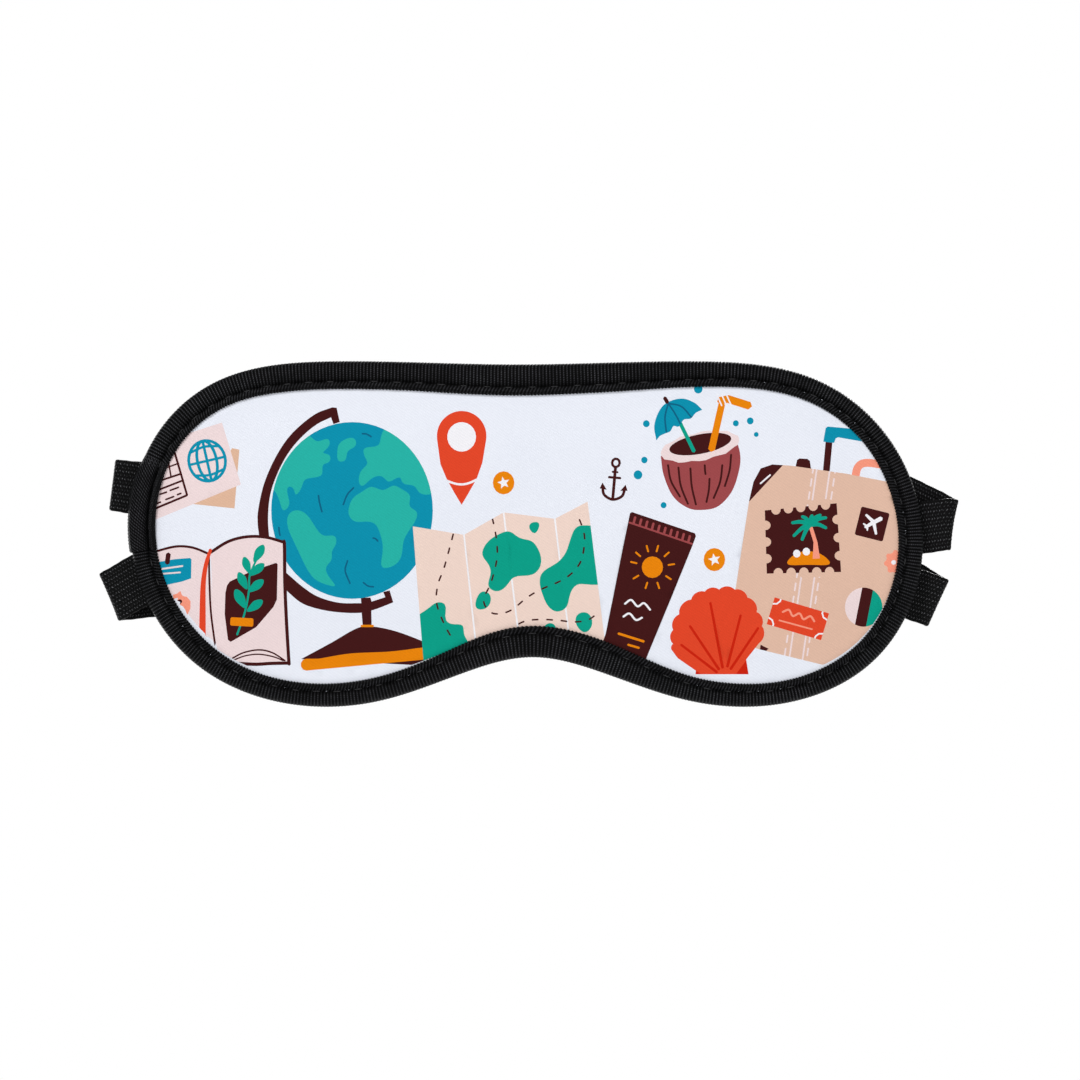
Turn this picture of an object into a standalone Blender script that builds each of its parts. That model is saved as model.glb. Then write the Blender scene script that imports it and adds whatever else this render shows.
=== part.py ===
"""Padded sleep mask with a bound edge and two elastic head straps.

The mask stands upright: +X to the viewer's right, +Z up, and the printed face looks along -Y.
The origin is the middle of the lining's flat back, which rests on the wearer's face.
"""

import math

import bmesh
import bpy
import numpy as np

MM = 0.001

# Overall sizes of the bound mask
MASK_WIDTH = 198.6 * MM
MASK_HEIGHT = 86.8 * MM

# Outline: its corners as shares of half the width and half the height, its dips as real sizes
UPPER_CORNER = ((0.455, 1.0), (0.769, 0.877), (0.883, 0.684))
WIDEST_POINT = (1.0, -0.028)
LOWER_CORNER = ((0.863, -0.725), (0.7, -0.936), (0.402, -0.967))
TOP_DIP = 0.8 * MM
NOSE_RISE = 12.6 * MM
NOSE_FLANK_X = 17.1 * MM
NOSE_FLANK_RISE = 8.8 * MM
CUT_LEAN = -0.05  # sideways shift per unit of height, which the cut has
OUTLINE_STEPS = 80

# Layers of the pad, from the wearer's side to the printed side
LINING_THICKNESS = 0.5 * MM
FOAM_THICKNESS = 4.5 * MM
FACE_THICKNESS = 0.5 * MM
PINCHED_FOAM = 1.2 * MM  # what the foam is squeezed to under the binding
GAP = 0.3 * MM  # between pieces that touch

# Edge binding: a folded tape around the pinched edge
TAPE_THICKNESS = 0.6 * MM
BINDING_REACH = 7.4 * MM
ROLL_SWELL = 0.35 * MM  # how far the rolled edge stands above the stitched valley
LIP_SWELL = 0.2 * MM
STITCH_INSET = 5.5 * MM
EDGE_TO_PAD = 2.2 * MM  # from the binding's outer edge to the pad inside it
PAD_SLOPE = 6.0 * MM  # width of the margin over which the pad swells to full thickness
THREAD_DIAMETER = 0.3 * MM
THREAD_SIDES = 6

# Elastic straps
STRAP_WIDTH = 13.0 * MM
STRAP_THICKNESS = 1.3 * MM
STRAP_BEVEL = 0.35 * MM
LOOP_RADIUS = 1.9 * MM  # middle of the strap, where it turns back at its outer end
STRAP_SEWN = 7.0 * MM
STRAP_SLACK = 3.5 * MM  # how far a loose strap stands off behind the mask
FOLD_STEPS = 10
RUN_STEPS = 30

# Where the two straps leave each side: the height midway between them, and the gap that parts them
STRAP_SPREAD = {
    "left": (-1.1 * MM, 14.0 * MM),
    "right": (-7.3 * MM, 6.6 * MM),
}

# Each strap end: overhang past the mask, and two headings in degrees.
# A heading is the outward direction above the horizontal, for the sewn tab and for the band.
STRAP_ENDS = {
    "upper_strap_left": (5.3 * MM, 9.0, 5.0),
    "upper_strap_right": (8.8 * MM, 8.0, -29.0),
    "lower_strap_left": (7.4 * MM, -27.0, -5.0),
    "lower_strap_right": (7.0 * MM, -19.0, -29.0),
}

# Bar tack that fastens each sewn end
TACK_LENGTH = 10.0 * MM
TACK_WIDTH = 1.8 * MM
TACK_THICKNESS = 0.4 * MM
TACK_TEETH = 12

# Places that follow from the sizes above. A rise is a distance from the pad's middle plane.
PAD_THICKNESS = LINING_THICKNESS + FOAM_THICKNESS + FACE_THICKNESS + 2 * GAP
MIDDLE_Y = -PAD_THICKNESS / 2
PINCHED_RISE = PINCHED_FOAM / 2 + GAP + max(LINING_THICKNESS, FACE_THICKNESS)
VALLEY_RISE = PINCHED_RISE + GAP + TAPE_THICKNESS
ROLL_RISE = VALLEY_RISE + ROLL_SWELL
THREAD_RISE = VALLEY_RISE + GAP + THREAD_DIAMETER / 2
TAB_RISE = max(ROLL_RISE, THREAD_RISE + THREAD_DIAMETER / 2) + GAP + STRAP_THICKNESS / 2
TAB_Y = MIDDLE_Y + TAB_RISE
BAND_Y = TAB_Y + 2 * LOOP_RADIUS


def clear_scene():
    for old in list(bpy.data.objects):
        bpy.data.objects.remove(old, do_unlink=True)


def material(name, colour, roughness, metallic=0.0):
    made = bpy.data.materials.new(name)
    made.use_nodes = True
    shader = made.node_tree.nodes["Principled BSDF"]
    shader.inputs["Base Color"].default_value = (*colour, 1.0)
    shader.inputs["Roughness"].default_value = roughness
    shader.inputs["Metallic"].default_value = metallic
    made.diffuse_color = (*colour, 1.0)
    return made


def mesh_object(name, points, faces, finish):
    """A named object of these points and faces, its faces turned outwards."""
    mesh = bpy.data.meshes.new(name)
    mesh.from_pydata([tuple(map(float, p)) for p in points], [], faces)
    work = bmesh.new()
    work.from_mesh(mesh)
    bmesh.ops.recalc_face_normals(work, faces=work.faces)
    work.to_mesh(mesh)
    work.free()
    mesh.shade_smooth()
    mesh.set_sharp_from_angle(angle=math.radians(40))
    mesh.materials.append(finish)
    made = bpy.data.objects.new(name, mesh)
    bpy.context.scene.collection.objects.link(made)
    return made


def half_outline():
    """Points down the right side, from the middle of the top edge to the top of the nose arch."""
    half_width, half_height = MASK_WIDTH / 2, MASK_HEIGHT / 2
    corners = [*UPPER_CORNER, WIDEST_POINT, *LOWER_CORNER]
    sides = [(x * half_width, z * half_height) for x, z in corners]
    flank = (NOSE_FLANK_X, NOSE_FLANK_RISE - half_height)
    return [(0.0, half_height - TOP_DIP), *sides, flank, (0.0, NOSE_RISE - half_height)]


def closed_spline(points, samples_each):
    """Dense points on the smooth closed curve through these points, a periodic cubic."""
    count = len(points)
    steps = np.linalg.norm(np.roll(points, -1, axis=0) - points, axis=1)
    system = np.zeros((count, count))
    pull = np.zeros((count, 2))
    for i in range(count):
        before, after = steps[i - 1], steps[i]
        following = (i + 1) % count
        system[i, i - 1] = before
        system[i, i] = 2 * (before + after)
        system[i, following] = after
        pull[i] = (points[following] - points[i]) / after - (points[i] - points[i - 1]) / before
    bends = np.linalg.solve(system, 6 * pull)
    curve = []
    for i in range(count):
        span, following = steps[i], (i + 1) % count
        along = np.linspace(0, span, samples_each, endpoint=False)[:, None]
        left = span - along
        cubic = (bends[i] * left**3 + bends[following] * along**3) / (6 * span)
        start = (points[i] / span - bends[i] * span / 6) * left
        end = (points[following] / span - bends[following] * span / 6) * along
        curve.append(cubic + start + end)
    return np.concatenate(curve)


def mask_outline():
    """(points, inward normals) at even steps round the mask, clockwise from the top middle."""
    right = half_outline()
    left = [(-x, z) for x, z in right[-2:0:-1]]
    curve = closed_spline(np.array(right + left), 60)
    curve[:, 0] += CUT_LEAN * curve[:, 1]
    closed = np.vstack([curve, curve[:1]])
    travel = np.concatenate([[0], np.cumsum(np.linalg.norm(np.diff(closed, axis=0), axis=1))])
    marks = np.linspace(0, travel[-1], OUTLINE_STEPS, endpoint=False)
    points = np.column_stack([np.interp(marks, travel, closed[:, axis]) for axis in (0, 1)])
    along = np.roll(points, -1, axis=0) - np.roll(points, 1, axis=0)
    along /= np.linalg.norm(along, axis=1)[:, None]
    return points, np.column_stack([along[:, 1], -along[:, 0]])


def ring_points(outline, inset, y):
    """The outline moved inwards and placed at depth y."""
    points, inward = outline
    moved = points + inward * inset
    return [(x, y, z) for x, z in moved]


def swept_ring(name, outline, profile, finish, capped):
    """A body swept round the outline from a profile of (inset, y) points.

    A capped body closes its first and last rings with flat faces. Any other profile is a loop.
    """
    count = OUTLINE_STEPS
    points = [p for inset, y in profile for p in ring_points(outline, inset, y)]
    rings = len(profile)
    faces = []
    for ring in range(rings - 1 if capped else rings):
        near, far = ring * count, (ring + 1) % rings * count
        for i in range(count):
            j = (i + 1) % count
            faces.append((near + i, near + j, far + j, far + i))
    if capped:
        faces.append(tuple(range(count)))
        faces.append(tuple(range((rings - 1) * count, rings * count)))
    return mesh_object(name, points, faces, finish)


def margin(pinched, full):
    """(inset, rise) points of a pad surface, from its edge in under the binding to the plateau."""
    start = BINDING_REACH + GAP
    curve = [(EDGE_TO_PAD, pinched), (start, pinched)]
    for share in (0.5, 1.0):
        lift = math.sin(share * math.pi / 2)
        curve.append((start + share * PAD_SLOPE, pinched + lift * (full - pinched)))
    return curve


def add_sheet(name, outline, outer_side, thickness, finish):
    """A fabric layer on one side of the foam: outer_side is +1 at the back and -1 at the front."""
    full = PAD_THICKNESS / 2
    outer = margin(PINCHED_RISE, full)
    inner = margin(PINCHED_RISE - thickness, full - thickness)
    profile = [*reversed(outer), *inner]
    placed = [(inset, MIDDLE_Y + outer_side * rise) for inset, rise in profile]
    return swept_ring(name, outline, placed, finish, capped=True)


def add_foam(outline, finish):
    back = margin(PINCHED_FOAM / 2, PAD_THICKNESS / 2 - LINING_THICKNESS - GAP)
    front = margin(PINCHED_FOAM / 2, PAD_THICKNESS / 2 - FACE_THICKNESS - GAP)
    profile = [(inset, MIDDLE_Y + rise) for inset, rise in reversed(back)]
    profile += [(inset, MIDDLE_Y - rise) for inset, rise in front]
    return swept_ring("foam_core", outline, profile, finish, capped=True)


def binding_side():
    """(inset, rise) points of the tape's outer surface, from its fold to its inner edge."""
    crown = STITCH_INSET / 2
    lip = (STITCH_INSET + BINDING_REACH) / 2
    return [
        (0.12 * crown, 0.45 * ROLL_RISE),
        (0.42 * crown, 0.83 * ROLL_RISE),
        (crown, ROLL_RISE),
        (0.5 * (crown + STITCH_INSET), ROLL_RISE - 0.35 * ROLL_SWELL),
        (STITCH_INSET, VALLEY_RISE),
        (lip, VALLEY_RISE + LIP_SWELL),
        (BINDING_REACH, VALLEY_RISE),
    ]


def add_binding(outline, finish):
    outside = binding_side()
    inside_rise = PINCHED_RISE + GAP
    front = [*outside, (BINDING_REACH, inside_rise), (EDGE_TO_PAD - GAP, inside_rise)]
    profile = [(0.0, MIDDLE_Y)]
    profile += [(inset, MIDDLE_Y - rise) for inset, rise in front]
    profile += [(inset, MIDDLE_Y + rise) for inset, rise in reversed(front)]
    return swept_ring("edge_binding", outline, profile, finish, capped=False)


def add_seam_thread(name, outline, side, finish):
    """One thread of the binding seam, laid in the stitched valley of one side."""
    radius = THREAD_DIAMETER / 2
    profile = []
    for i in range(THREAD_SIDES):
        turn = 2 * math.pi * i / THREAD_SIDES
        across, up = radius * math.cos(turn), radius * math.sin(turn)
        profile.append((STITCH_INSET + across, MIDDLE_Y + side * THREAD_RISE + up))
    return swept_ring(name, outline, profile, finish, capped=False)


def heading_vector(side, degrees):
    """Outward unit vector in the mask's plane, and the strap's width direction across it."""
    turn = math.radians(degrees)
    outward = np.array([side * math.cos(turn), 0.0, math.sin(turn)])
    across = np.array([-side * math.sin(turn), 0.0, math.cos(turn)])
    return outward, across


def edge_x(outline, side, z):
    """How far the mask reaches to one side at height z."""
    points, _ = outline
    half = points[points[:, 0] * side > 0.3 * MASK_WIDTH]
    ordered = half[np.argsort(half[:, 1])]
    return float(np.interp(z, ordered[:, 1], ordered[:, 0]))


class StrapEnd:
    """Where one end of a strap folds back on itself, and the stations of its loop."""

    def __init__(self, outline, strap, end):
        self.name = f"{strap}_{end}"
        self.side = 1 if end == "right" else -1
        self.overhang, self.tab_heading, self.band_heading = STRAP_ENDS[self.name]
        middle, parting = STRAP_SPREAD[end]
        half_pitch = (STRAP_WIDTH + parting) / 2
        z = middle + half_pitch if strap == "upper_strap" else middle - half_pitch
        x = edge_x(outline, self.side, z) + self.side * self.overhang
        self.loop = self.loop_stations(np.array([x, 0.0, z]))

    def loop_stations(self, tip):
        """(centre, width direction) from the tab's end, round the loop, to the band's start."""
        shares = np.linspace(0, 1, FOLD_STEPS + 1)
        headings = self.tab_heading + shares * (self.band_heading - self.tab_heading)
        frames = [heading_vector(self.side, heading) for heading in headings]
        centre = np.zeros(3)
        centres = [centre]
        for i in range(FOLD_STEPS):
            turn = (shares[i] + shares[i + 1]) / 2 * math.pi
            outward = (frames[i][0] + frames[i + 1][0]) / 2
            step = outward * math.cos(turn) + np.array([0.0, math.sin(turn), 0.0])
            centre = centre + step * LOOP_RADIUS * math.pi / FOLD_STEPS
            centres.append(centre)
        shift = tip - centres[FOLD_STEPS // 2] * np.array([1, 0, 1])
        shift[1] = TAB_Y
        return [(c + shift, frame[1]) for c, frame in zip(centres, frames)]

    def tab_stations(self):
        """(centre, width direction) along the straight tab, from its sewn end outwards."""
        outward, across = heading_vector(self.side, self.tab_heading)
        start = self.loop[0][0] - outward * GAP
        length = self.overhang + STRAP_SEWN - LOOP_RADIUS
        return [(start - outward * length * (1 - share), across) for share in (0.0, 0.5, 1.0)]


def strap_body(name, stations, finish):
    """A flat elastic body through these stations, with bevelled edges."""
    half, thick, bevel = STRAP_WIDTH / 2, STRAP_THICKNESS / 2, STRAP_BEVEL
    section = [(half, 0.0), (half - bevel, thick), (bevel - half, thick)]
    section += [(-u, -v) for u, v in section]
    centres = np.array([centre for centre, _ in stations])
    along = np.gradient(centres, axis=0, edge_order=2)
    points = []
    for (centre, across), direction in zip(stations, along):
        normal = np.cross(direction, across)
        normal /= np.linalg.norm(normal)
        points += [centre + across * u + normal * v for u, v in section]
    sides = len(section)
    faces = []
    for station in range(len(stations) - 1):
        near, far = station * sides, (station + 1) * sides
        for i in range(sides):
            j = (i + 1) % sides
            faces.append((near + i, near + j, far + j, far + i))
    faces.append(tuple(range(sides)))
    faces.append(tuple(range(len(points) - sides, len(points))))
    return mesh_object(name, points, faces, finish)


def run_stations(left, right):
    """The loose run behind the mask, which leaves each loop in that loop's direction."""
    start, end = left.loop[-1][0], right.loop[-1][0]
    span = end[0] - start[0]
    slopes = [math.tan(math.radians(end_.side * end_.band_heading)) for end_ in (left, right)]
    stations = []
    for i in range(1, RUN_STEPS):
        t = i / RUN_STEPS
        rise = (1 + 2 * t) * (1 - t) ** 2 * start[2] + t**2 * (3 - 2 * t) * end[2]
        rise += span * (t * (1 - t) ** 2 * slopes[0] + t**2 * (t - 1) * slopes[1])
        bulge = STRAP_SLACK * math.sin(math.pi * t) ** 2
        stations.append(np.array([start[0] + t * span, BAND_Y + bulge, rise]))
    centres = np.array([start, *stations, end])
    along = np.gradient(centres, axis=0)[1:-1]
    across = np.column_stack([-along[:, 2], np.zeros(len(along)), along[:, 0]])
    across /= np.linalg.norm(across, axis=1)[:, None]
    return list(zip(stations, across))


def add_strap(outline, name, finish):
    """One strap: two sewn tabs and the loose band that stretches between them."""
    left = StrapEnd(outline, name, "left")
    right = StrapEnd(outline, name, "right")
    strap_body(f"{left.name}_tab", left.tab_stations(), finish)
    strap_body(f"{right.name}_tab", right.tab_stations(), finish)
    stations = [*left.loop, *run_stations(left, right), *reversed(right.loop)]
    strap_body(f"{name}_band", stations, finish)
    return left, right


def add_bar_tack(end, finish):
    """A close zigzag of thread across the sewn end, on the tab's rear face."""
    outward, across = heading_vector(end.side, end.tab_heading)
    sewn = end.tab_stations()[0][0]
    middle = sewn + outward * STRAP_SEWN / 2
    near = TAB_Y + STRAP_THICKNESS / 2 + GAP
    half, pitch = TACK_LENGTH / 2, TACK_LENGTH / TACK_TEETH
    inner, outer = 0.36 * TACK_WIDTH, TACK_WIDTH / 2
    edge = []
    for i in range(TACK_TEETH):
        edge.append((i * pitch - half, inner))
        edge.append(((i + 0.5) * pitch - half, outer))
    edge.append((half, inner))
    outline = edge + [(-u, -v) for u, v in edge]
    points = []
    for y in (near, near + TACK_THICKNESS):
        for u, v in outline:
            place = middle + across * u + outward * v
            points.append((place[0], y, place[2]))
    count = len(outline)
    faces = [tuple(range(count)), tuple(range(count, 2 * count))]
    faces += [(i, (i + 1) % count, count + (i + 1) % count, count + i) for i in range(count)]
    return mesh_object(f"{end.name}_bar_tack", points, faces, finish)


def main():
    clear_scene()
    outline = mask_outline()
    face = material("printed_polyester", (0.84, 0.87, 0.93), 0.75)
    foam = material("grey_foam", (0.55, 0.55, 0.54), 0.95)
    lining = material("black_lining", (0.012, 0.012, 0.013), 0.9)
    tape = material("black_grosgrain", (0.01, 0.01, 0.011), 0.7)
    thread = material("black_thread", (0.03, 0.03, 0.033), 0.5)
    elastic = material("black_elastic", (0.014, 0.014, 0.015), 0.75)

    add_sheet("back_lining", outline, 1, LINING_THICKNESS, lining)
    add_foam(outline, foam)
    add_sheet("face_fabric", outline, -1, FACE_THICKNESS, face)
    add_binding(outline, tape)
    add_seam_thread("binding_needle_thread", outline, -1, thread)
    add_seam_thread("binding_bobbin_thread", outline, 1, thread)
    for name in ("upper_strap", "lower_strap"):
        for end in add_strap(outline, name, elastic):
            add_bar_tack(end, thread)


main()
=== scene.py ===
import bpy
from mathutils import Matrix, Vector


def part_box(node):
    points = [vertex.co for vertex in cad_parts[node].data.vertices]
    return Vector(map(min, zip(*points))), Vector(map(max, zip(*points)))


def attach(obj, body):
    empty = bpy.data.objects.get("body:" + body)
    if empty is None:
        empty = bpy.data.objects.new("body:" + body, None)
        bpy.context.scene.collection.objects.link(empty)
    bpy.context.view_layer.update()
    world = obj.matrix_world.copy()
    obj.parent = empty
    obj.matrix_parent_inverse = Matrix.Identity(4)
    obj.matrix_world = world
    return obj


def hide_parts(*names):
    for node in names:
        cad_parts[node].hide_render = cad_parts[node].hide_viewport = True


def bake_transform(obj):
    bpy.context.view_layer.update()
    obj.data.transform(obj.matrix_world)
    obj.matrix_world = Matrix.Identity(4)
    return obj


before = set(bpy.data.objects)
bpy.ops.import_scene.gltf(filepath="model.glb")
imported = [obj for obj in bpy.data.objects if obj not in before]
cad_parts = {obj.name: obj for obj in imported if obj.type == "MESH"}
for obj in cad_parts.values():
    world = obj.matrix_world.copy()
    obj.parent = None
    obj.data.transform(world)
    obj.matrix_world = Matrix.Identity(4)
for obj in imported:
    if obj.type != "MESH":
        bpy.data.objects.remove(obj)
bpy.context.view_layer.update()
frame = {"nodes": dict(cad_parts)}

import math

import bmesh
import bpy
import numpy as np
from mathutils import Vector
from mathutils.bvhtree import BVHTree
from mathutils.geometry import delaunay_2d_cdt

MM = 0.001

# Pad, in mm. A rise is a distance from the pad's middle plane.
FACE_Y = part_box("face_fabric")[0].y / MM
LINING_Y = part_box("back_lining")[1].y / MM
MIDDLE_Y = (FACE_Y + LINING_Y) / 2
FULL_RISE = (LINING_Y - FACE_Y) / 2
PINCHED_RISE = 1.4
SWELL_WIDTH = 12.0
FABRIC_THICKNESS = 0.4
FACE_EDGE_INSET = 3.0
GRID_STEP = 1.9
ROW_SHARE = 0.87
# Rings of points that follow the edge, as (distance inside the edge, step along it)
FABRIC_RINGS = ((FACE_EDGE_INSET, 1.4), (6.0, 1.4), (7.4, 1.5), (9.0, 1.6))
FABRIC_CLEARANCE = 10.4
FOAM_RINGS = ((FACE_EDGE_INSET, 2.5), (6.5, 2.5), (9.5, 2.5))
FOAM_CLEARANCE = 11.0
FOAM_GAP = 0.3
SEAM_EASE = 4.0
SMALLEST_AREA = 1e-7
PUCKER_HEIGHT = 0.07
PUCKER_LENGTH = 2.6
PRINT_INSET = 6.1
PRINT_SHIFT = (0.0, 0.35)

# Cloth simulation of the padding: a coarse closed pad, held at its seam, swells against its cover
SWELL_RINGS = ((4.6, 3.4), (7.2, 3.4))
SWELL_CLEARANCE = 9.6
SWELL_STEP = 3.6
SWELL_START = 0.85
SWELL_PRESSURE = 4.0
SWELL_FRAMES = 20
SWELL_CAP = 1.5
RAY_START = 60

# Binding, in mm
RIB_PITCH = 0.86
RIB_SAMPLES = 4
RIB_HEIGHT = 0.13
RIB_LEAN = 1.5
WEAVE_ACROSS = 10
ROLL_RISE = 2.75
VALLEY_RISE = 1.65
PINCH_DEPTH = 0.3
LIP_RISE = 2.55
LIP_WIDTH = 1.95
TAPE_END_RISE = 1.55
TAPE_INNER_RISE = 1.45
# Where the tape's inner edge lies, as (degrees clockwise from the top, reach from the outer edge)
TAPE_REACH = (
    (0, 7.85), (30, 7.3), (53, 6.1), (75, 5.8), (95, 6.4), (122, 5.6), (135, 5.9), (145, 7.2), (155, 7.9),
    (180, 8.0), (193, 7.6), (215, 6.0), (240, 5.7), (252, 6.4), (285, 6.4), (305, 7.15), (324, 7.0),
    (338, 7.6),
)
EDGE_SAMPLES = 16
REACH_SMOOTHING = 300
# The lapped end: its lowest and highest place on the left side, its lift, and the slant of its ribs
LAP_HEIGHTS = (-4.6, 20.0)
LAP_LIFT = 0.6
LAP_SLANT = 25.0
STITCH_PITCH = 5.6
STITCH_LENGTH = 2.6
STITCH_RINGS = 9
THREAD_RADIUS = 0.14
THREAD_SIDES = 8

# Bar tacks, in mm: a zigzag of thread across each sewn strap end
TACK_TURNS = 22
TACK_LENGTH = 10.2
TACK_HALF_WIDTH = 0.85
TACK_RADIUS = 0.15
TACK_SIDES = 6

# Elastic straps, in mm: near the CAD straps' route, with each loop moved by up to 1.6 mm
STRAP_WIDTH = 13.0
STRAP_THICKNESS = 1.3
SELVEDGE = 0.4
FLAT_POINTS = 57
LOOP_RADIUS = 1.9
STRAP_SEWN = 7.0
STRAP_SLACK = 3.5
KNOT_ROWS = 0.93
KNOT_LENGTH = 0.72
KNOT_SLANT = 0.6
KNOT_HEIGHT = 0.07
STRAP_STEP = 0.18
TAB_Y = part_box("upper_strap_left_tab")[0].y / MM + STRAP_THICKNESS / 2
BAND_Y = TAB_Y + 2 * LOOP_RADIUS
# Height midway between the two straps, and the gap between them, at each side
STRAP_SPREAD = {"left": (-1.6, 15.0), "right": (-7.3, 6.6)}
# Overhang past the mask's edge, then the headings in degrees of the tab, the fold and the run behind the mask
STRAP_ENDS = {
    "upper_strap_left": (5.6, 9.0, 7.0, 5.0),
    "upper_strap_right": (7.8, 8.0, -10.0, -29.0),
    "lower_strap_left": (9.0, -30.0, -22.0, -5.0),
    "lower_strap_right": (6.5, -19.0, -25.0, -33.0),
}

# Camera: 0.27 m of the mask's plane fills the frame
CAMERA_DISTANCE = 1.2
SENSOR_WIDTH = 36
FRAME_WIDTH = 0.27
FRAME_CENTRE = (0.0034, -0.0014)
FLOOR_Z = -0.30
FLOOR_RADIUS = 1.4
# Lamps in metres and watts: name, place, size and power
LAMPS = (
    ("key", (-0.5, -1.0, 1.1), 0.4, 15), ("fill", (0.9, -1.1, 0.2), 0.9, 4.5),
    ("back_key", (0.45, 1.4, 0.6), 0.5, 22), ("back_fill", (-0.8, 1.2, 0.0), 0.8, 10),
)
AMBIENT_STRENGTH = 0.3
PAPER_STRENGTH = 1.0


# ---------------------------------------------------------------- curves

def distances(points):
    """How far along a line each of its points lies."""
    return np.concatenate([[0], np.cumsum(np.linalg.norm(np.diff(points, axis=0), axis=1))])


def vertices_mm(mesh):
    return np.array([v.co for v in mesh.vertices]) / MM


def closed_spline(points, samples_each=5):
    """Dense points on the smooth closed curve through these points, a periodic cubic."""
    points = np.asarray(points, float)
    count = len(points)
    steps = np.linalg.norm(np.roll(points, -1, axis=0) - points, axis=1)
    system = np.zeros((count, count))
    pull = np.zeros((count, 2))
    for i in range(count):
        before, after, following = steps[i - 1], steps[i], (i + 1) % count
        system[i, i - 1] = before
        system[i, i] = 2 * (before + after)
        system[i, following] = after
        pull[i] = (points[following] - points[i]) / after - (points[i] - points[i - 1]) / before
    bends = np.linalg.solve(system, 6 * pull)
    curve = []
    for i in range(count):
        span, following = steps[i], (i + 1) % count
        along = np.linspace(0, span, samples_each, endpoint=False)[:, None]
        left = span - along
        cubic = (bends[i] * left**3 + bends[following] * along**3) / (6 * span)
        start = (points[i] / span - bends[i] * span / 6) * left
        end = (points[following] / span - bends[following] * span / 6) * along
        curve.append(cubic + start + end)
    return np.concatenate(curve)


class Outline:
    """The mask's outer edge in mm, read from the CAD binding, with places along it by distance."""

    def __init__(self):
        mesh = frame["nodes"]["edge_binding"].data
        points = vertices_mm(mesh)
        ring = points[np.abs(points[:, 1] - MIDDLE_Y) < 0.01][:, [0, 2]]
        ring = np.unique(np.round(ring, 4), axis=0)
        far = np.hypot(ring[:, 0], ring[:, 1])
        turn = np.arctan2(ring[:, 0], ring[:, 1])
        outer = [far[np.abs(np.angle(np.exp(1j * (turn - t)))) < 0.01].max() for t in turn]
        ring = ring[far > np.array(outer) - 0.5]
        turn = np.arctan2(ring[:, 0], ring[:, 1]) % (2 * math.pi)
        curve = closed_spline(ring[np.argsort(turn)], EDGE_SAMPLES)
        closed = np.vstack([curve, curve[:1]])
        self.points = closed
        self.travel = distances(closed)
        self.length = self.travel[-1]
        along = np.roll(curve, -1, axis=0) - np.roll(curve, 1, axis=0)
        along /= np.linalg.norm(along, axis=1)[:, None]
        inward = np.column_stack([along[:, 1], -along[:, 0]])
        self.inward = np.vstack([inward, inward[:1]])
        turn = np.degrees(np.arctan2(curve[:, 0], curve[:, 1])) % 360
        reach = np.interp(turn, *zip(*TAPE_REACH), period=360)
        for _ in range(REACH_SMOOTHING):
            reach = (np.roll(reach, 1) + 2 * reach + np.roll(reach, -1)) / 4
        self.reach = np.append(reach, reach[0])

    def at(self, s):
        """Points and inward normals at these distances along the edge."""
        s = np.asarray(s, float) % self.length
        point = np.column_stack([np.interp(s, self.travel, self.points[:, k]) for k in (0, 1)])
        inward = np.column_stack([np.interp(s, self.travel, self.inward[:, k]) for k in (0, 1)])
        return point, inward / np.linalg.norm(inward, axis=1)[:, None]

    def tape_reach(self, s):
        """Width of the tape's front, from the outer edge, at these distances along it."""
        return np.interp(np.asarray(s, float) % self.length, self.travel, self.reach)

    def inset(self, distance, step=1.5):
        point, inward = self.at(np.arange(0, self.length, step))
        return point + inward * distance

    def nearest(self, places):
        """Distance inside the edge, and distance along it, for each place."""
        inside, along = [], []
        for chunk in np.array_split(places, max(1, len(places) // 2000)):
            apart = np.linalg.norm(chunk[:, None] - self.points[None, :-1], axis=2)
            index = apart.argmin(axis=1)
            inside.append(apart[np.arange(len(chunk)), index])
            along.append(self.travel[index])
        return np.concatenate(inside), np.concatenate(along)

    def s_at(self, side, z):
        """Distance along the edge where it crosses height z on one side."""
        wanted = (self.points[:, 0] * side > 60) & (np.abs(self.points[:, 1] - z) < 3)
        index = np.flatnonzero(wanted)
        return self.travel[index[np.abs(self.points[index, 1] - z).argmin()]]


EDGE = Outline()


def wander(s, size, waves=(3, 7, 13)):
    """A slow irregular value along the edge, which closes on itself."""
    turn = 2 * math.pi * np.asarray(s) / EDGE.length
    return size * sum(np.sin(n * turn + 1.7 * n) / (i + 1.5) for i, n in enumerate(waves))


# ---------------------------------------------------------------- meshes

def make_mesh(name, points, faces, material):
    """A named object from points in mm."""
    mesh = bpy.data.meshes.new(name)
    mesh.from_pydata((np.asarray(points, float) * MM).tolist(), [], faces)
    mesh.validate()
    mesh.shade_smooth()
    mesh.materials.append(material)
    made = bpy.data.objects.new(name, mesh)
    bpy.context.scene.collection.objects.link(made)
    return made


def grid_faces(rows, columns, close_rows=False, close_columns=False):
    """Quads of a grid of points, listed row by row."""
    faces = []
    for row in range(rows if close_rows else rows - 1):
        near, far = row * columns, (row + 1) % rows * columns
        for i in range(columns if close_columns else columns - 1):
            j = (i + 1) % columns
            faces.append((near + i, near + j, far + j, far + i))
    return faces


def tube_faces(rows, columns):
    """A closed tube's wall and its two end caps."""
    last = (rows - 1) * columns
    caps = [tuple(range(columns)), tuple(range(last, last + columns))]
    return grid_faces(rows, columns, close_columns=True) + caps


def stand(flat, y):
    """Points over these (x, z) places in the mask's plane, at depth y."""
    return np.column_stack([flat[:, 0], np.broadcast_to(y, len(flat)), flat[:, 1]])


def sew_on(piece, slot, *nodes):
    """Lets a piece stand for its CAD nodes, which it hides, and fixes it to the mask; its slot, the finish,
    is not used.
    """
    if nodes:
        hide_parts(*nodes)
    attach(piece, "root")


def face_outwards(made):
    work = bmesh.new()
    work.from_mesh(made.data)
    bmesh.ops.recalc_face_normals(work, faces=work.faces)
    work.to_mesh(made.data)
    work.free()


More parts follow.
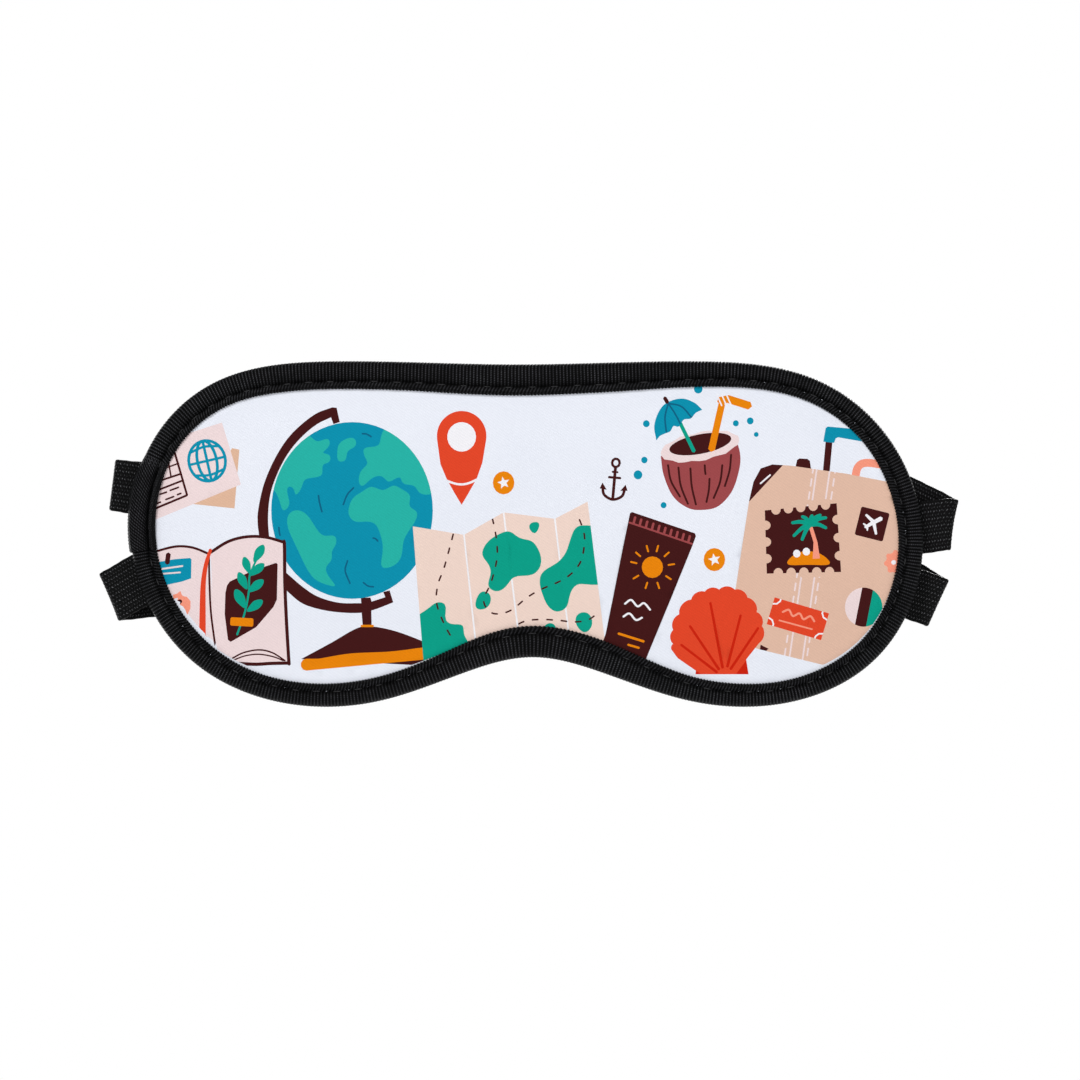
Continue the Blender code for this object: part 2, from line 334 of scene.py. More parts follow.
def add_uv(made, name, values):
    """A UV map from one (u, v) for each vertex."""
    layer = made.data.uv_layers.new(name=name)
    index = np.empty(len(made.data.loops), np.int32)
    made.data.loops.foreach_get("vertex_index", index)
    layer.data.foreach_set("uv", np.asarray(values, np.float32)[index].ravel())


# ---------------------------------------------------------------- materials

def linear(colour):
    """Scene-linear colour of an sRGB one, from 0 to 255."""
    value = np.array(colour, float) / 255
    return np.where(value < 0.04045, value / 12.92, ((value + 0.055) / 1.055) ** 2.4)


class Nodes:
    """A material's node tree, with short calls for the nodes that the fabrics use."""

    def __init__(self, name, roughness, specular=0.3, sheen=0.0):
        self.material = bpy.data.materials.new(name)
        self.material.use_nodes = True
        self.tree = self.material.node_tree
        self.shader = self.tree.nodes["Principled BSDF"]
        self.shader.inputs["Roughness"].default_value = roughness
        self.shader.inputs["Specular IOR Level"].default_value = specular
        self.shader.inputs["Sheen Weight"].default_value = sheen
        self.shader.inputs["Sheen Roughness"].default_value = 0.45

    def new(self, kind, **settings):
        node = self.tree.nodes.new(kind)
        for key, value in settings.items():
            setattr(node, key, value)
        return node

    def link(self, output, socket):
        self.tree.links.new(output, socket)

    def coordinates(self, uv_map=None, scale=(1, 1, 1), turn=(0, 0, 0)):
        """Object coordinates, or a named UV map, scaled and turned."""
        if uv_map:
            source = self.new("ShaderNodeUVMap", uv_map=uv_map).outputs["UV"]
        else:
            source = self.new("ShaderNodeTexCoord").outputs["Object"]
        mapping = self.new("ShaderNodeMapping")
        mapping.inputs["Scale"].default_value = scale
        mapping.inputs["Rotation"].default_value = turn
        self.link(source, mapping.inputs["Vector"])
        return mapping.outputs["Vector"]

    def noise(self, vector, scale, detail=3.0, roughness=0.6):
        node = self.new("ShaderNodeTexNoise")
        node.inputs["Scale"].default_value = scale
        node.inputs["Detail"].default_value = detail
        node.inputs["Roughness"].default_value = roughness
        self.link(vector, node.inputs["Vector"])
        return node.outputs["Fac"]

    def wave(self, vector, direction, period, distortion=0.0, detail_scale=1.0):
        """Bands from 0 to 1 and back over one period, with a peak at the origin."""
        node = self.new("ShaderNodeTexWave", bands_direction=direction)
        node.inputs["Scale"].default_value = math.pi / 10 / period
        node.inputs["Phase Offset"].default_value = math.pi
        node.inputs["Distortion"].default_value = distortion
        node.inputs["Detail"].default_value = 1.0
        node.inputs["Detail Scale"].default_value = detail_scale
        self.link(vector, node.inputs["Vector"])
        return node.outputs["Fac"]

    def maths(self, operation, a, b):
        node = self.new("ShaderNodeMath", operation=operation)
        for socket, value in zip(node.inputs, (a, b)):
            if isinstance(value, (int, float)):
                socket.default_value = value
            else:
                self.link(value, socket)
        return node.outputs[0]

    def ramp(self, value, stops):
        """A colour for each place along the value."""
        node = self.new("ShaderNodeValToRGB")
        while len(node.color_ramp.elements) < len(stops):
            node.color_ramp.elements.new(0.5)
        for element, (place, colour) in zip(node.color_ramp.elements, stops):
            element.position = place
            element.color = (*colour, 1.0)
        self.link(value, node.inputs["Fac"])
        return node.outputs["Color"]

    def span(self, value, low, high):
        """The value from 0 to 1, moved to the range from low to high."""
        node = self.new("ShaderNodeMapRange")
        node.inputs["To Min"].default_value = low
        node.inputs["To Max"].default_value = high
        self.link(value, node.inputs["Value"])
        return node.outputs["Result"]

    def grey(self, value, *stops):
        """A neutral shade for each place along the value."""
        return self.ramp(value, [(place, (shade,) * 3) for place, shade in stops])

    def multiply(self, colour, *shades):
        """The colour darkened by each of the shades."""
        for shade in shades:
            node = self.new("ShaderNodeMix", data_type="RGBA", blend_type="MULTIPLY")
            node.inputs["Factor"].default_value = 1.0
            self.link(colour, node.inputs["A"])
            self.link(shade, node.inputs["B"])
            colour = node.outputs["Result"]
        return colour

    def split(self, vector):
        node = self.new("ShaderNodeSeparateXYZ")
        self.link(vector, node.inputs[0])
        return node.outputs

    def bump(self, height, strength, distance_mm, below=None):
        node = self.new("ShaderNodeBump")
        node.inputs["Strength"].default_value = strength
        node.inputs["Distance"].default_value = distance_mm * MM
        self.link(height, node.inputs["Height"])
        if below is not None:
            self.link(below, node.inputs["Normal"])
        return node.outputs["Normal"]

    def finish(self, colour=None, normal=None, roughness=None):
        for value, name in ((colour, "Base Color"), (normal, "Normal"), (roughness, "Roughness")):
            if value is not None:
                self.link(value, self.shader.inputs[name])
        return self.material


def printed_polyester():
    """White polyester with a fine diagonal twill, its ink read from the Print colours."""
    m = Nodes("printed_polyester", 0.8, specular=0.1)
    ink = m.new("ShaderNodeVertexColor", layer_name="Print").outputs["Color"]
    slanted = m.coordinates(turn=(0, math.radians(-32), 0))
    twill = m.wave(slanted, "Z", 0.62 * MM, distortion=1.0, detail_scale=2.0)
    across = m.wave(m.coordinates(turn=(0, math.radians(58), 0)), "Z", 0.42 * MM, distortion=1.0)
    weave = m.maths("MULTIPLY", m.span(twill, 0.15, 1.0), m.span(across, 0.2, 1.0))
    fibre = m.noise(m.coordinates(), 2600, detail=2)
    cloud = m.noise(m.coordinates(), 34, detail=3)
    shade = m.ramp(weave, [(0.0, (0.93, 0.935, 0.94)), (0.7, (1.0, 1.0, 1.0))])
    patch = m.ramp(cloud, [(0.3, (0.97, 0.975, 0.98)), (0.7, (1.0, 1.0, 1.0))])
    speck = m.ramp(fibre, [(0.3, (0.96, 0.96, 0.965)), (0.6, (1.0, 1.0, 1.0))])
    normal = m.bump(fibre, 0.12, 0.05, m.bump(weave, 0.35, 0.06))
    return m.finish(m.multiply(ink, shade, patch, speck), normal, m.span(weave, 0.86, 0.76))


def grosgrain():
    """Black ribbed tape: painted highlights on the rib tops, painted shade in the gaps between ribs and along
    the seam, and fine warp threads across each rib.
    """
    m = Nodes("black_grosgrain", 0.5, specular=0.07)
    ribs = m.wave(m.coordinates("Weave"), "X", 1.0)
    warp = m.wave(m.coordinates("Weave", turn=(0, 0, math.radians(20))), "Y", 0.42, distortion=1.2)
    lint = m.noise(m.coordinates(), 1100, detail=4)
    patch = m.noise(m.coordinates(), 110, detail=4)
    beads = m.maths("MULTIPLY", ribs, m.span(warp, 0.5, 1.0))
    # Painted light: the rib tops are coloured light grey as a painted highlight, and the gaps between ribs
    # almost black as painted shade.
    base = m.ramp(beads, [(0.2, (0.0004, 0.0004, 0.0006)), (0.55, (0.007, 0.007, 0.0085)),
                          (1.0, (0.1, 0.101, 0.112))])
    worn = m.ramp(patch, [(0.32, (0.42, 0.42, 0.43)), (0.68, (1.0, 1.0, 1.0))])
    dust = m.grey(lint, (0.35, 0.5), (0.7, 1.0))
    across = m.split(m.coordinates("Weave", scale=(1, 1 / WEAVE_ACROSS, 1)))["Y"]
    # Painted shade across the tape: darkest in the stitched seam's valley, with two narrower darker bands
    # nearer the tape's inner edge.
    painted_seam_shade = m.grey(across, (0.40, 0.9), (0.52, 0.3), (0.59, 0.06), (0.64, 0.7), (0.70, 1.0), (0.77, 0.9),
                     (0.81, 0.25), (0.85, 0.9), (0.96, 0.3))
    normal = m.bump(lint, 0.15, 0.03, m.bump(beads, 0.5, 0.07))
    return m.finish(m.multiply(base, worn, dust, painted_seam_shade), normal, m.span(beads, 0.75, 0.42))


def woven_elastic():
    """Black elastic: painted glints on its knots and on every other row of them, and painted shade in the
    gaps between knots and along its edges.
    """
    m = Nodes("black_elastic", 0.5, specular=0.1)
    rows = m.wave(m.coordinates("Weave"), "Y", KNOT_ROWS)
    pairs = m.wave(m.coordinates("Weave"), "Y", 2 * KNOT_ROWS)
    place = m.split(m.coordinates("Weave"))
    zigzag = m.maths("MULTIPLY", m.maths("PINGPONG", place["Y"], KNOT_ROWS), KNOT_SLANT)
    shifted = m.new("ShaderNodeCombineXYZ")
    m.link(m.maths("ADD", place["X"], zigzag), shifted.inputs["X"])
    cells = m.wave(shifted.outputs[0], "X", KNOT_LENGTH)
    lattice = m.maths("MULTIPLY", m.span(cells, 0.3, 1.0), m.span(rows, 0.35, 1.0))
    slant = m.wave(m.coordinates("Weave", turn=(0, 0, math.radians(32))), "X", 0.4, distortion=0.5)
    yarn = m.maths("MULTIPLY", lattice, m.span(slant, 0.3, 1.0))
    lint = m.noise(m.coordinates(), 1500, detail=3)
    # Painted light: the knot tops are coloured light grey as painted glints, and the gaps between knots
    # almost black as painted shade.
    base = m.ramp(yarn, [(0.25, (0.0008, 0.0008, 0.001)), (0.5, (0.014, 0.014, 0.016)),
                         (0.9, (0.16, 0.162, 0.17))])
    dust = m.grey(lint, (0.35, 0.5), (0.7, 1.0))
    # Painted highlight: every other row of knots is coloured brighter, as rows of glints.
    painted_glint_rows = m.grey(pairs, (0.2, 0.4), (0.95, 1.0))
    normal = m.bump(lint, 0.15, 0.03, m.bump(yarn, 0.7, 0.1))
    out = m.maths("MULTIPLY", m.maths("ABSOLUTE", place["Y"], 0.0), 2 / STRAP_WIDTH)
    # Painted shade along both edges of the elastic, darkening its colour there.
    painted_edge_shade = m.grey(out, (0.87, 1.0), (0.93, 0.25))
    return m.finish(m.multiply(base, dust, painted_glint_rows, painted_edge_shade), normal, m.span(yarn, 0.75, 0.36))


def brushed_lining():
    """Soft black knit on the wearer's side."""
    m = Nodes("black_lining", 0.9, specular=0.08, sheen=0.05)
    columns = m.wave(m.coordinates(), "X", 0.8 * MM, distortion=1.5, detail_scale=3.0)
    courses = m.wave(m.coordinates(), "Z", 0.6 * MM, distortion=1.2, detail_scale=3.0)
    loops = m.maths("MULTIPLY", columns, m.span(courses, 0.3, 1.0))
    nap = m.noise(m.coordinates(), 900, detail=5, roughness=0.75)
    patch = m.noise(m.coordinates(), 28, detail=3)
    base = m.ramp(nap, [(0.3, (0.006, 0.006, 0.0065)), (0.8, (0.028, 0.028, 0.03))])
    brushed = m.ramp(patch, [(0.3, (0.68, 0.68, 0.69)), (0.7, (1.0, 1.0, 1.0))])
    knit = m.grey(loops, (0.0, 0.45), (0.6, 1.0))
    normal = m.bump(nap, 0.35, 0.07, m.bump(loops, 0.5, 0.1))
    return m.finish(m.multiply(base, brushed, knit), normal, m.span(nap, 0.78, 0.95))


def sewing_thread():
    """Black polyester thread whose twist shows as a painted highlight along each ply and painted shade
    between the plies.
    """
    m = Nodes("black_thread", 0.38, specular=0.25)
    twist = m.wave(m.coordinates("Weave", turn=(0, 0, math.radians(35))), "X", 0.5, distortion=0.2)
    fuzz = m.noise(m.coordinates(), 2200, detail=3)
    # Painted light: lighter colour on the twist's crests as a painted highlight, darker in the grooves
    # between plies as painted shade.
    colour = m.ramp(twist, [(0.1, (0.008, 0.008, 0.009)), (0.9, (0.07, 0.07, 0.074))])
    normal = m.bump(fuzz, 0.15, 0.03, m.bump(twist, 0.7, 0.07))
    return m.finish(colour, normal, m.span(fuzz, 0.5, 0.65))


def open_cell_foam():
    """Grey foam with small open pores, their insides darkened as painted shade."""
    m = Nodes("grey_foam", 0.95, specular=0.15)
    cells = m.new("ShaderNodeTexVoronoi")
    cells.inputs["Scale"].default_value = 1400
    m.link(m.coordinates(), cells.inputs["Vector"])
    pores = cells.outputs["Distance"]
    # Painted shade: the colour is darker towards each pore's middle, where the bump makes a pit.
    colour = m.ramp(pores, [(0.1, (0.25, 0.25, 0.24)), (0.6, (0.62, 0.62, 0.6))])
    return m.finish(colour, m.bump(pores, 0.8, 0.2))


# ---------------------------------------------------------------- the print

INK_STRENGTH = 0.93
WHITE = linear((238, 241, 250)) * INK_STRENGTH
INK = {
    "blue": (0, 145, 175), "teal": (37, 180, 167), "green": (0, 160, 136), "maroon": (66, 18, 18),
    "orange": (236, 134, 0), "red": (229, 70, 38), "coral": (250, 154, 128), "tan": (228, 189, 167),
    "pink": (241, 220, 220), "peach": (242, 216, 203), "brown": (158, 72, 74), "deep_red": (205, 32, 4),
    "deep_blue": (6, 98, 130), "white": (246, 244, 248), "clay": (226, 184, 156),
}
INK = {name: linear(colour) * INK_STRENGTH for name, colour in INK.items()}


def turned(points, degrees, origin=(0, 0)):
    """Points turned anticlockwise and then moved to an origin."""
    turn = math.radians(degrees)
    spin = np.array([[math.cos(turn), -math.sin(turn)], [math.sin(turn), math.cos(turn)]])
    return np.asarray(points, float) @ spin.T + np.asarray(origin, float)


def oval(centre, width, height, turn=0.0, start=0.0, end=360.0, steps=None):
    """Points round an ellipse, or along an arc of it."""
    steps = steps or max(10, int((width + height) * 3 * (end - start) / 360))
    whole = end - start >= 360
    angles = np.radians(np.linspace(start, end, steps, endpoint=not whole))
    return turned(np.column_stack([np.cos(angles) * width, np.sin(angles) * height]), turn, centre)


def open_curve(points, steps=7):
    """A smooth open curve through these points (Catmull-Rom)."""
    p = np.asarray(points, float)
    if len(p) < 3:
        return p
    p = np.vstack([2 * p[0] - p[1], p, 2 * p[-1] - p[-2]])
    curve = []
    for a, b, c, d in zip(p, p[1:], p[2:], p[3:]):
        for t in np.linspace(0, 1, steps, endpoint=False):
            curve.append(0.5 * (2 * b + (c - a) * t + (2 * a - 5 * b + 4 * c - d) * t**2
                                + (3 * b - a - 3 * c + d) * t**3))
    return np.vstack([curve, p[-2:-1]])


def ribbon(points, width, end_width=None):
    """The closed outline of a stroke along these points."""
    p = np.asarray(points, float)
    along = np.gradient(p, axis=0)
    along /= np.linalg.norm(along, axis=1)[:, None]
    across = np.column_stack([-along[:, 1], along[:, 0]])
    half = np.linspace(width, end_width or width, len(p))[:, None] / 2
    tip, tail = p[-1:] + along[-1:] * half[-1] * 0.7, p[:1] - along[:1] * half[0] * 0.7
    return np.vstack([tail, p + across * half, tip, (p - across * half)[::-1]])


class Print:
    """Flat shapes laid one over another. Later shapes cover earlier ones."""

    def __init__(self):
        self.shapes = []
        self.clip = None

    def add(self, ink, points):
        self.shapes.append((ink, np.asarray(points, float), self.clip))

    def stroke(self, ink, points, width, end_width=None):
        self.add(ink, ribbon(open_curve(points), width, end_width))

    def line(self, ink, start, end, width):
        self.add(ink, ribbon([start, end], width))

    def lines(self, ink, width, *ends):
        for start, end in ends:
            self.line(ink, start, end, width)

    def ring(self, ink, outline, width):
        """A line round a closed outline."""
        self.add(ink, ribbon(np.vstack([outline, outline[:2]]), width))

    def dashes(self, ink, points, width, dash, gap):
        curve = open_curve(points, 12)
        travel = distances(curve)
        for begin in np.arange(0.3, travel[-1] - dash, dash + gap):
            marks = np.linspace(begin, begin + dash, 4)
            piece = np.column_stack([np.interp(marks, travel, curve[:, k]) for k in (0, 1)])
            self.add(ink, ribbon(piece, width))


def box_shape(centre, width, height, turn=0.0, round_by=0.6):
    """A rectangle with rounded corners."""
    points = []
    for quarter, (sx, sz) in enumerate(((1, 1), (-1, 1), (-1, -1), (1, -1))):
        corner = (sx * (width / 2 - round_by), sz * (height / 2 - round_by))
        points.append(oval(corner, round_by, round_by, 0, quarter * 90, quarter * 90 + 90, 5))
    return turned(np.vstack(points), turn, centre)


def draw_cards(p):
    p.add("clay", [(-73.6, 21.6), (-71.8, 21.2), (-73.0, 6.5), (-83.5, 7.6)])
    p.add("pink", [(-98, 21.0), (-76.2, 28.0), (-71.4, 12.5), (-96, 2.4)])
    centre = (-79.9, 18.4)
    for width in (4.6, 2.4):
        p.ring("blue", oval(centre, width, 5.1, 13, steps=30), 0.75)
    p.line("blue", *turned([(0, -5.1), (0, 5.1)], 13, centre), 0.7)
    p.line("blue", *turned([(-4.6, 0), (4.6, 0)], 13, centre), 0.65)
    for side in (1, -1):
        bow = [(-3.9, side * 2.9), (0, side * 3.6), (3.9, side * 2.9)]
        p.stroke("blue", turned(bow, 13, centre), 0.65)
    p.lines("maroon", 0.55, ((-88.0, 20.4), (-84.9, 9.8)), ((-84.9, 9.8), (-95.5, 5.4)))
    p.lines("maroon", 0.5, ((-86.4, 15.2), (-96, 12.0)))
    p.lines("maroon", 0.4, ((-87.0, 17.8), (-92, 16.0)), ((-89.9, 20.0), (-88.9, 14.2)))
    p.lines("maroon", 0.5, ((-95, 10.0), (-86.0, 13.5)))
    p.lines("maroon", 0.45, ((-93.5, 7.4), (-91.5, 8.1)), ((-90.3, 8.7), (-88.2, 9.5)),
            ((-87.4, 9.9), (-86.4, 10.3)), ((-91.8, 10.0), (-90.0, 10.6)), ((-89.2, 11.0), (-87.0, 11.8)))


def draw_notebook(p):
    p.clip = np.array([(-100, 5), (-93.4, -4.4), (-92.4, -9.1), (-90.8, -12.4), (-87.3, -16.6),
                       (-84.9, -19.8), (-81.9, -23.5), (-77.9, -27.7), (-74.8, -30.5), (-71.4, -32.7),
                       (-58, -36), (-55, 5)])
    left_top = open_curve([(-97, -5.4), (-92, -4.1), (-87.5, -3.1), (-83.5, -3.4), (-79.4, -4.9)])
    p.add("pink", np.vstack([left_top, [(-77.4, -29), (-88, -33), (-100, -20)]]))
    top = [(-79.0, -4.5), (-74.6, -1.8), (-70.0, -0.6), (-65.2, -0.7), (-60.8, -1.9)]
    p.add("pink", np.vstack([open_curve(top), [(-60.4, -12), (-59.6, -32.2), (-74, -32.6), (-78.0, -28)]]))
    p.stroke("maroon", [(-95, -5.0), (-91.5, -3.9), (-87.5, -3.0), (-83.5, -3.3), (-79.6, -4.8)], 0.6)
    p.stroke("maroon", [(-79.4, -4.6), (-79.3, -12), (-78.9, -20), (-77.8, -28.4)], 0.5)
    p.stroke("maroon", top, 0.75)
    p.stroke("maroon", [(-60.9, -1.8), (-60.5, -2.6), (-60.4, -12), (-60.0, -22), (-59.4, -32.6)], 0.85)
    p.stroke("maroon", [(-73.6, -32.2), (-68, -32.5), (-64, -32.3), (-59.4, -32.2)], 0.85)
    p.stroke("maroon", [(-73.6, -31.0), (-70.8, -29.6), (-67.0, -28.9), (-63.6, -29.6), (-60.4, -31.6)], 0.4)
    p.stroke("maroon", [(-73.4, -31.5), (-70.4, -30.4), (-67.0, -30.0), (-63.4, -30.6), (-60.8, -31.6)], 0.35)
    p.stroke("red", [(-79.0, -3.8), (-80.1, -7.3), (-80.8, -11.8), (-81.0, -17.1), (-81.1, -27)], 0.8, 1.7)
    p.add("maroon", [(-75.3, -14.6), (-74.9, -12.8), (-74.2, -11.8), (-68.8, -9.2), (-62.6, -7.1),
                     (-62.2, -7.4), (-62.4, -16.3), (-63.3, -18.2), (-67.6, -23.2), (-74.0, -26.9),
                     (-74.7, -26.4), (-75.5, -20)])
    p.stroke("green", [(-72.4, -25.1), (-70.4, -19.4), (-69.4, -14.1), (-69.2, -10.3), (-67.3, -5.9)], 0.5)
    leaves = ((-66.9, -4.8, 2.5, 60), (-69.9, -7.7, 2.2, 108), (-67.3, -8.8, 2.3, 40),
              (-70.9, -11.6, 2.4, 116), (-67.6, -12.9, 2.4, 38), (-71.5, -16.1, 2.7, 118),
              (-67.9, -17.9, 2.4, 35))
    for x, z, size, turn in leaves:
        leaf = [(-size, 0), (-0.4 * size, 0.36 * size), (0.5 * size, 0.42 * size), (size, 0.05),
                (0.5 * size, -0.38 * size), (-0.4 * size, -0.33 * size)]
        p.add("green", closed_spline(turned(leaf, turn, (x, z)), 4))
    p.add("orange", box_shape((-71.2, -21.9), 5.8, 2.1, -3, 0.45))
    p.add("blue", [(-96, -7.2), (-92.2, -6.9), (-88, -6.2), (-84.2, -5.9), (-83.8, -6.2), (-83.9, -11.0),
                   (-86.2, -11.8), (-90.3, -12.7), (-96, -13)])
    p.line("pink", (-92.4, -8.8), (-86.0, -7.9), 0.45)
    p.line("pink", (-91.8, -9.9), (-86.6, -9.5), 0.4)
    p.line("maroon", (-89.6, -4.9), (-89.9, -7.2), 1.2)
    p.add("coral", closed_spline([(-90.5, -14.9), (-87.4, -14.8), (-86.6, -14.2), (-86.2, -15.2),
                                  (-85.0, -15.6), (-84.9, -20.2), (-87.0, -21), (-90.5, -20)], 3))
    p.add("maroon", oval((-86.9, -16.9), 0.8, 0.6, 30))
    p.clip = None


def draw_globe(p):
    centre = np.array((-43.6, 6.0))
    outer = open_curve([(-48.6, 31.8), (-52.5, 30.3), (-56.3, 27.5), (-59.8, 23.9), (-63.0, 18.8),
                        (-65.6, 12.7), (-67.0, 6.6), (-67.2, 2.8), (-66.6, -2)])
    inner = open_curve([(-64.2, -2), (-64.6, 4.1), (-64.0, 10.1), (-62.1, 15.6), (-59.5, 20.4),
                        (-56.3, 24.3), (-52.5, 27.5), (-48.9, 29.3)])
    p.add("maroon", np.vstack([outer, inner, [(-48.3, 27.6), (-46.7, 28.1), (-47.5, 31.7)]]))
    outer = open_curve([(-60.5, -13.6), (-56.3, -17.1), (-51.8, -18.7), (-46.7, -19.5), (-41.4, -19.6),
                        (-37.7, -18.7), (-33.3, -17.0)])
    foot = [(-34.2, -14.0), (-35.8, -14.4), (-35.3, -15.7), (-38.7, -16.8), (-39.0, -15.8), (-41.4, -15.8)]
    inner = open_curve([(-41.3, -17.2), (-46.7, -17.1), (-51.8, -15.7), (-55.7, -13.3), (-60.5, -9.2)])
    p.add("maroon", np.vstack([outer, foot, inner]))
    p.add("maroon", [(-41.3, -18.5), (-38.8, -18.3), (-38.7, -23.4), (-40.9, -23.4)])
    base = open_curve([(-56.4, -31.2), (-49.0, -27.2), (-42.2, -23.4), (-38.0, -23.1), (-31.5, -24.6),
                       (-22.4, -28.2)])
    p.add("maroon", np.vstack([base, [(-22.4, -33)]]))
    p.line("orange", (-41.3, -22.9), (-38.3, -22.9), 0.6)
    p.add("orange", np.vstack([oval((-55.1, -32.6), 1.4, 1.5, 0, 90, 270, 6), [(-22, -31.0), (-22, -27.6)],
                               open_curve([(-26, -28.3), (-34, -29.3), (-44, -29.8), (-52, -31.1)])]))
    sphere = oval(centre, 20.2, 22.1, steps=64)
    p.add("blue", sphere)
    p.clip = sphere
    lands = (
        [(-10.5, 18.6), (-8.5, 17.3), (-6.0, 17.8), (-5.7, 16.3), (-7.2, 14.4), (-5.7, 13.8), (-5.7, 12.2),
         (-7.2, 11.4), (-7.5, 9.1), (-9.8, 8.2), (-11.9, 7.5), (-12.6, 5.8), (-14.1, 4.0), (-14.9, 5.7),
         (-15.8, 5.9), (-15.9, 3.2), (-15.9, 1.0), (-17.0, 0.0), (-18.0, 1.9), (-19.3, 4.8), (-23, 10),
         (-15, 20)],
        [(-3.4, 16.3), (-2.1, 17.6), (0.7, 17.8), (0.9, 16.3), (-1.1, 14.7), (-1.8, 12.5), (-3.2, 12.3),
         (-3.7, 14.4)],
        [(8.1, 20.4), (7.2, 18.3), (6.5, 16.3), (3.0, 15.4), (3.2, 13.4), (3.8, 11.8), (2.1, 9.6),
         (2.4, 6.1), (4.0, 7.2), (6.5, 8.6), (7.8, 8.3), (9.1, 7.2), (12.0, 8.2), (12.6, 7.0), (15.5, 6.1),
         (16.8, 4.5), (19.4, 4.0), (25, 8), (16, 21)],
        [(-14.6, -0.1), (-12.4, -0.3), (-10.4, -2.2), (-8.5, -5.1), (-6.9, -6.3), (-4.3, -6.5), (-4.0, -8.3),
         (-5.0, -10.3), (-5.1, -12.2), (-6.4, -14.1), (-5.9, -16.4), (-4.3, -18.9), (-6.6, -18.5),
         (-9.5, -17.0), (-12.0, -13.2), (-14.6, -7.7), (-16.2, -3.2), (-15.9, -1.2)],
        [(-0.8, 0.6), (0.4, 3.2), (2.7, 4.8), (4.9, 5.9), (7.8, 5.1), (10.4, 6.2), (12.3, 5.4), (14.5, 3.5),
         (14.5, 1.0), (16.1, -0.3), (15.5, -3.2), (12.9, -7.7), (12.3, -11.5), (10.4, -13.8), (7.6, -14.2),
         (7.6, -10.9), (7.0, -5.8), (5.6, -3.3), (3.3, -2.8), (0.4, -2.6), (-0.8, -1.0)],
        [(17.0, -8.0), (18.6, -6.6), (18.2, -10.0), (16.6, -11.6)],
    )
    for land in lands:
        p.add("teal", closed_spline(land + centre, 4))
    waves = ([(2.5, 19.2), (3.6, 19.1), (4.8, 18.4)], [(-8.4, 3.8), (-8.1, 1.9), (-7.5, -0.4)],
             [(0.4, 5.7), (-1.2, 3.9), (-2.2, 1.4)], [(5.2, -6.9), (5.9, -7.1), (6.5, -7.7)],
             [(-1.1, -12.5), (-1.7, -15.1), (-0.5, -18.3)], [(2.8, -18.0), (4.0, -18.9), (5.4, -19.1)],
             [(-18.3, -4.2), (-18.2, -5.3), (-18.0, -6.3)])
    for wave in waves:
        p.stroke("deep_blue", wave + centre, 0.42)
    p.clip = None


def draw_map(p):
    body = np.array([(-28.4, 2.0), (-15.6, -0.1), (-5.7, 5.5), (7.1, 3.9), (15.3, 8.2), (19.6, -26.5),
                     (5, -34), (-25.6, -34)])
    p.add("peach", body)
    p.clip = body
    p.lines("white", 0.42, ((-15.6, -0.1), (-12.6, -28)), ((-5.7, 5.5), (-1.6, -28)),
            ((7.1, 3.9), (11.0, -28)))
    lands = (
        [(-11.0, -5.1), (-10.1, -2.4), (-7.0, 0.0), (-4.2, 0.7), (-1.8, -0.8), (1.3, -1.7), (2.8, -3.4),
         (3.5, -7.9), (1.6, -10.0), (-3.2, -10.8), (-5.2, -13.1), (-7.7, -14.2), (-9.4, -13.1), (-9.0, -10.0),
         (-9.5, -7.5)],
        [(16.1, 2.2), (12.7, 1.9), (11.3, -0.3), (9.9, -4.4), (7.5, -7.2), (3.7, -10.0), (3.4, -12.7),
         (4.2, -15.5), (5.4, -17.9), (7.6, -19.3), (9.9, -18.3), (10.8, -15.5), (12.7, -12.6), (15.1, -12.5),
         (20, -11.9), (20, 2)],
        [(-28.5, -21.4), (-24.3, -18.3), (-22.2, -17.0), (-20.5, -17.4), (-20.1, -21.4), (-18.7, -22.4),
         (-16.0, -22.8), (-15.6, -24.8), (-14.6, -26.9), (-14, -31), (-29, -33)],
        [(-12.2, -15.5), (-11.0, -14.3), (-9.4, -14.8), (-8.9, -16.5), (-10.4, -18.6), (-12.4, -18.5)],
        [(0.7, 2.1), (2.0, 3.1), (3.1, 2.8), (3.0, 1.4), (2.0, 0.3)],
        [(12.7, -20.2), (15.1, -19.6), (16.3, -21.0), (16.1, -23.4), (14.7, -24.5), (13.0, -23.4),
         (12.3, -21.4)],
        [(4.7, -22.8), (6.0, -22.2), (7.2, -22.9), (7.0, -24.5), (4.8, -24.5)],
    )
    for land in lands:
        p.add("green", closed_spline(land, 4))
    routes = (
        [(-18.2, 0.4), (-19.5, -4.5), (-20.7, -8.7), (-22.2, -12.8), (-22.4, -17.5), (-20.4, -22.8),
         (-18.4, -26.3)],
        [(-8.6, 4.4), (-7.8, 0.8), (-7.3, -3.3), (-7.5, -6.9), (-8.9, -12.2), (-10.7, -16.3), (-9.5, -19.0),
         (-7.4, -19.9), (-3.9, -19.0), (0.3, -15.7), (3.8, -13.7), (9.7, -11.0), (13.2, -7.5), (14.4, -3.3),
         (14.3, 0.8), (12.0, 6.7)],
        [(-5.2, -24.6), (-0.9, -21.9), (3.2, -21.3), (7.9, -21.5), (12.0, -21.9), (15.6, -21.3),
         (18.6, -19.0)],
    )
    for route in routes:
        p.dashes("maroon", route, 0.42, 1.5, 2.1)
    p.clip = None


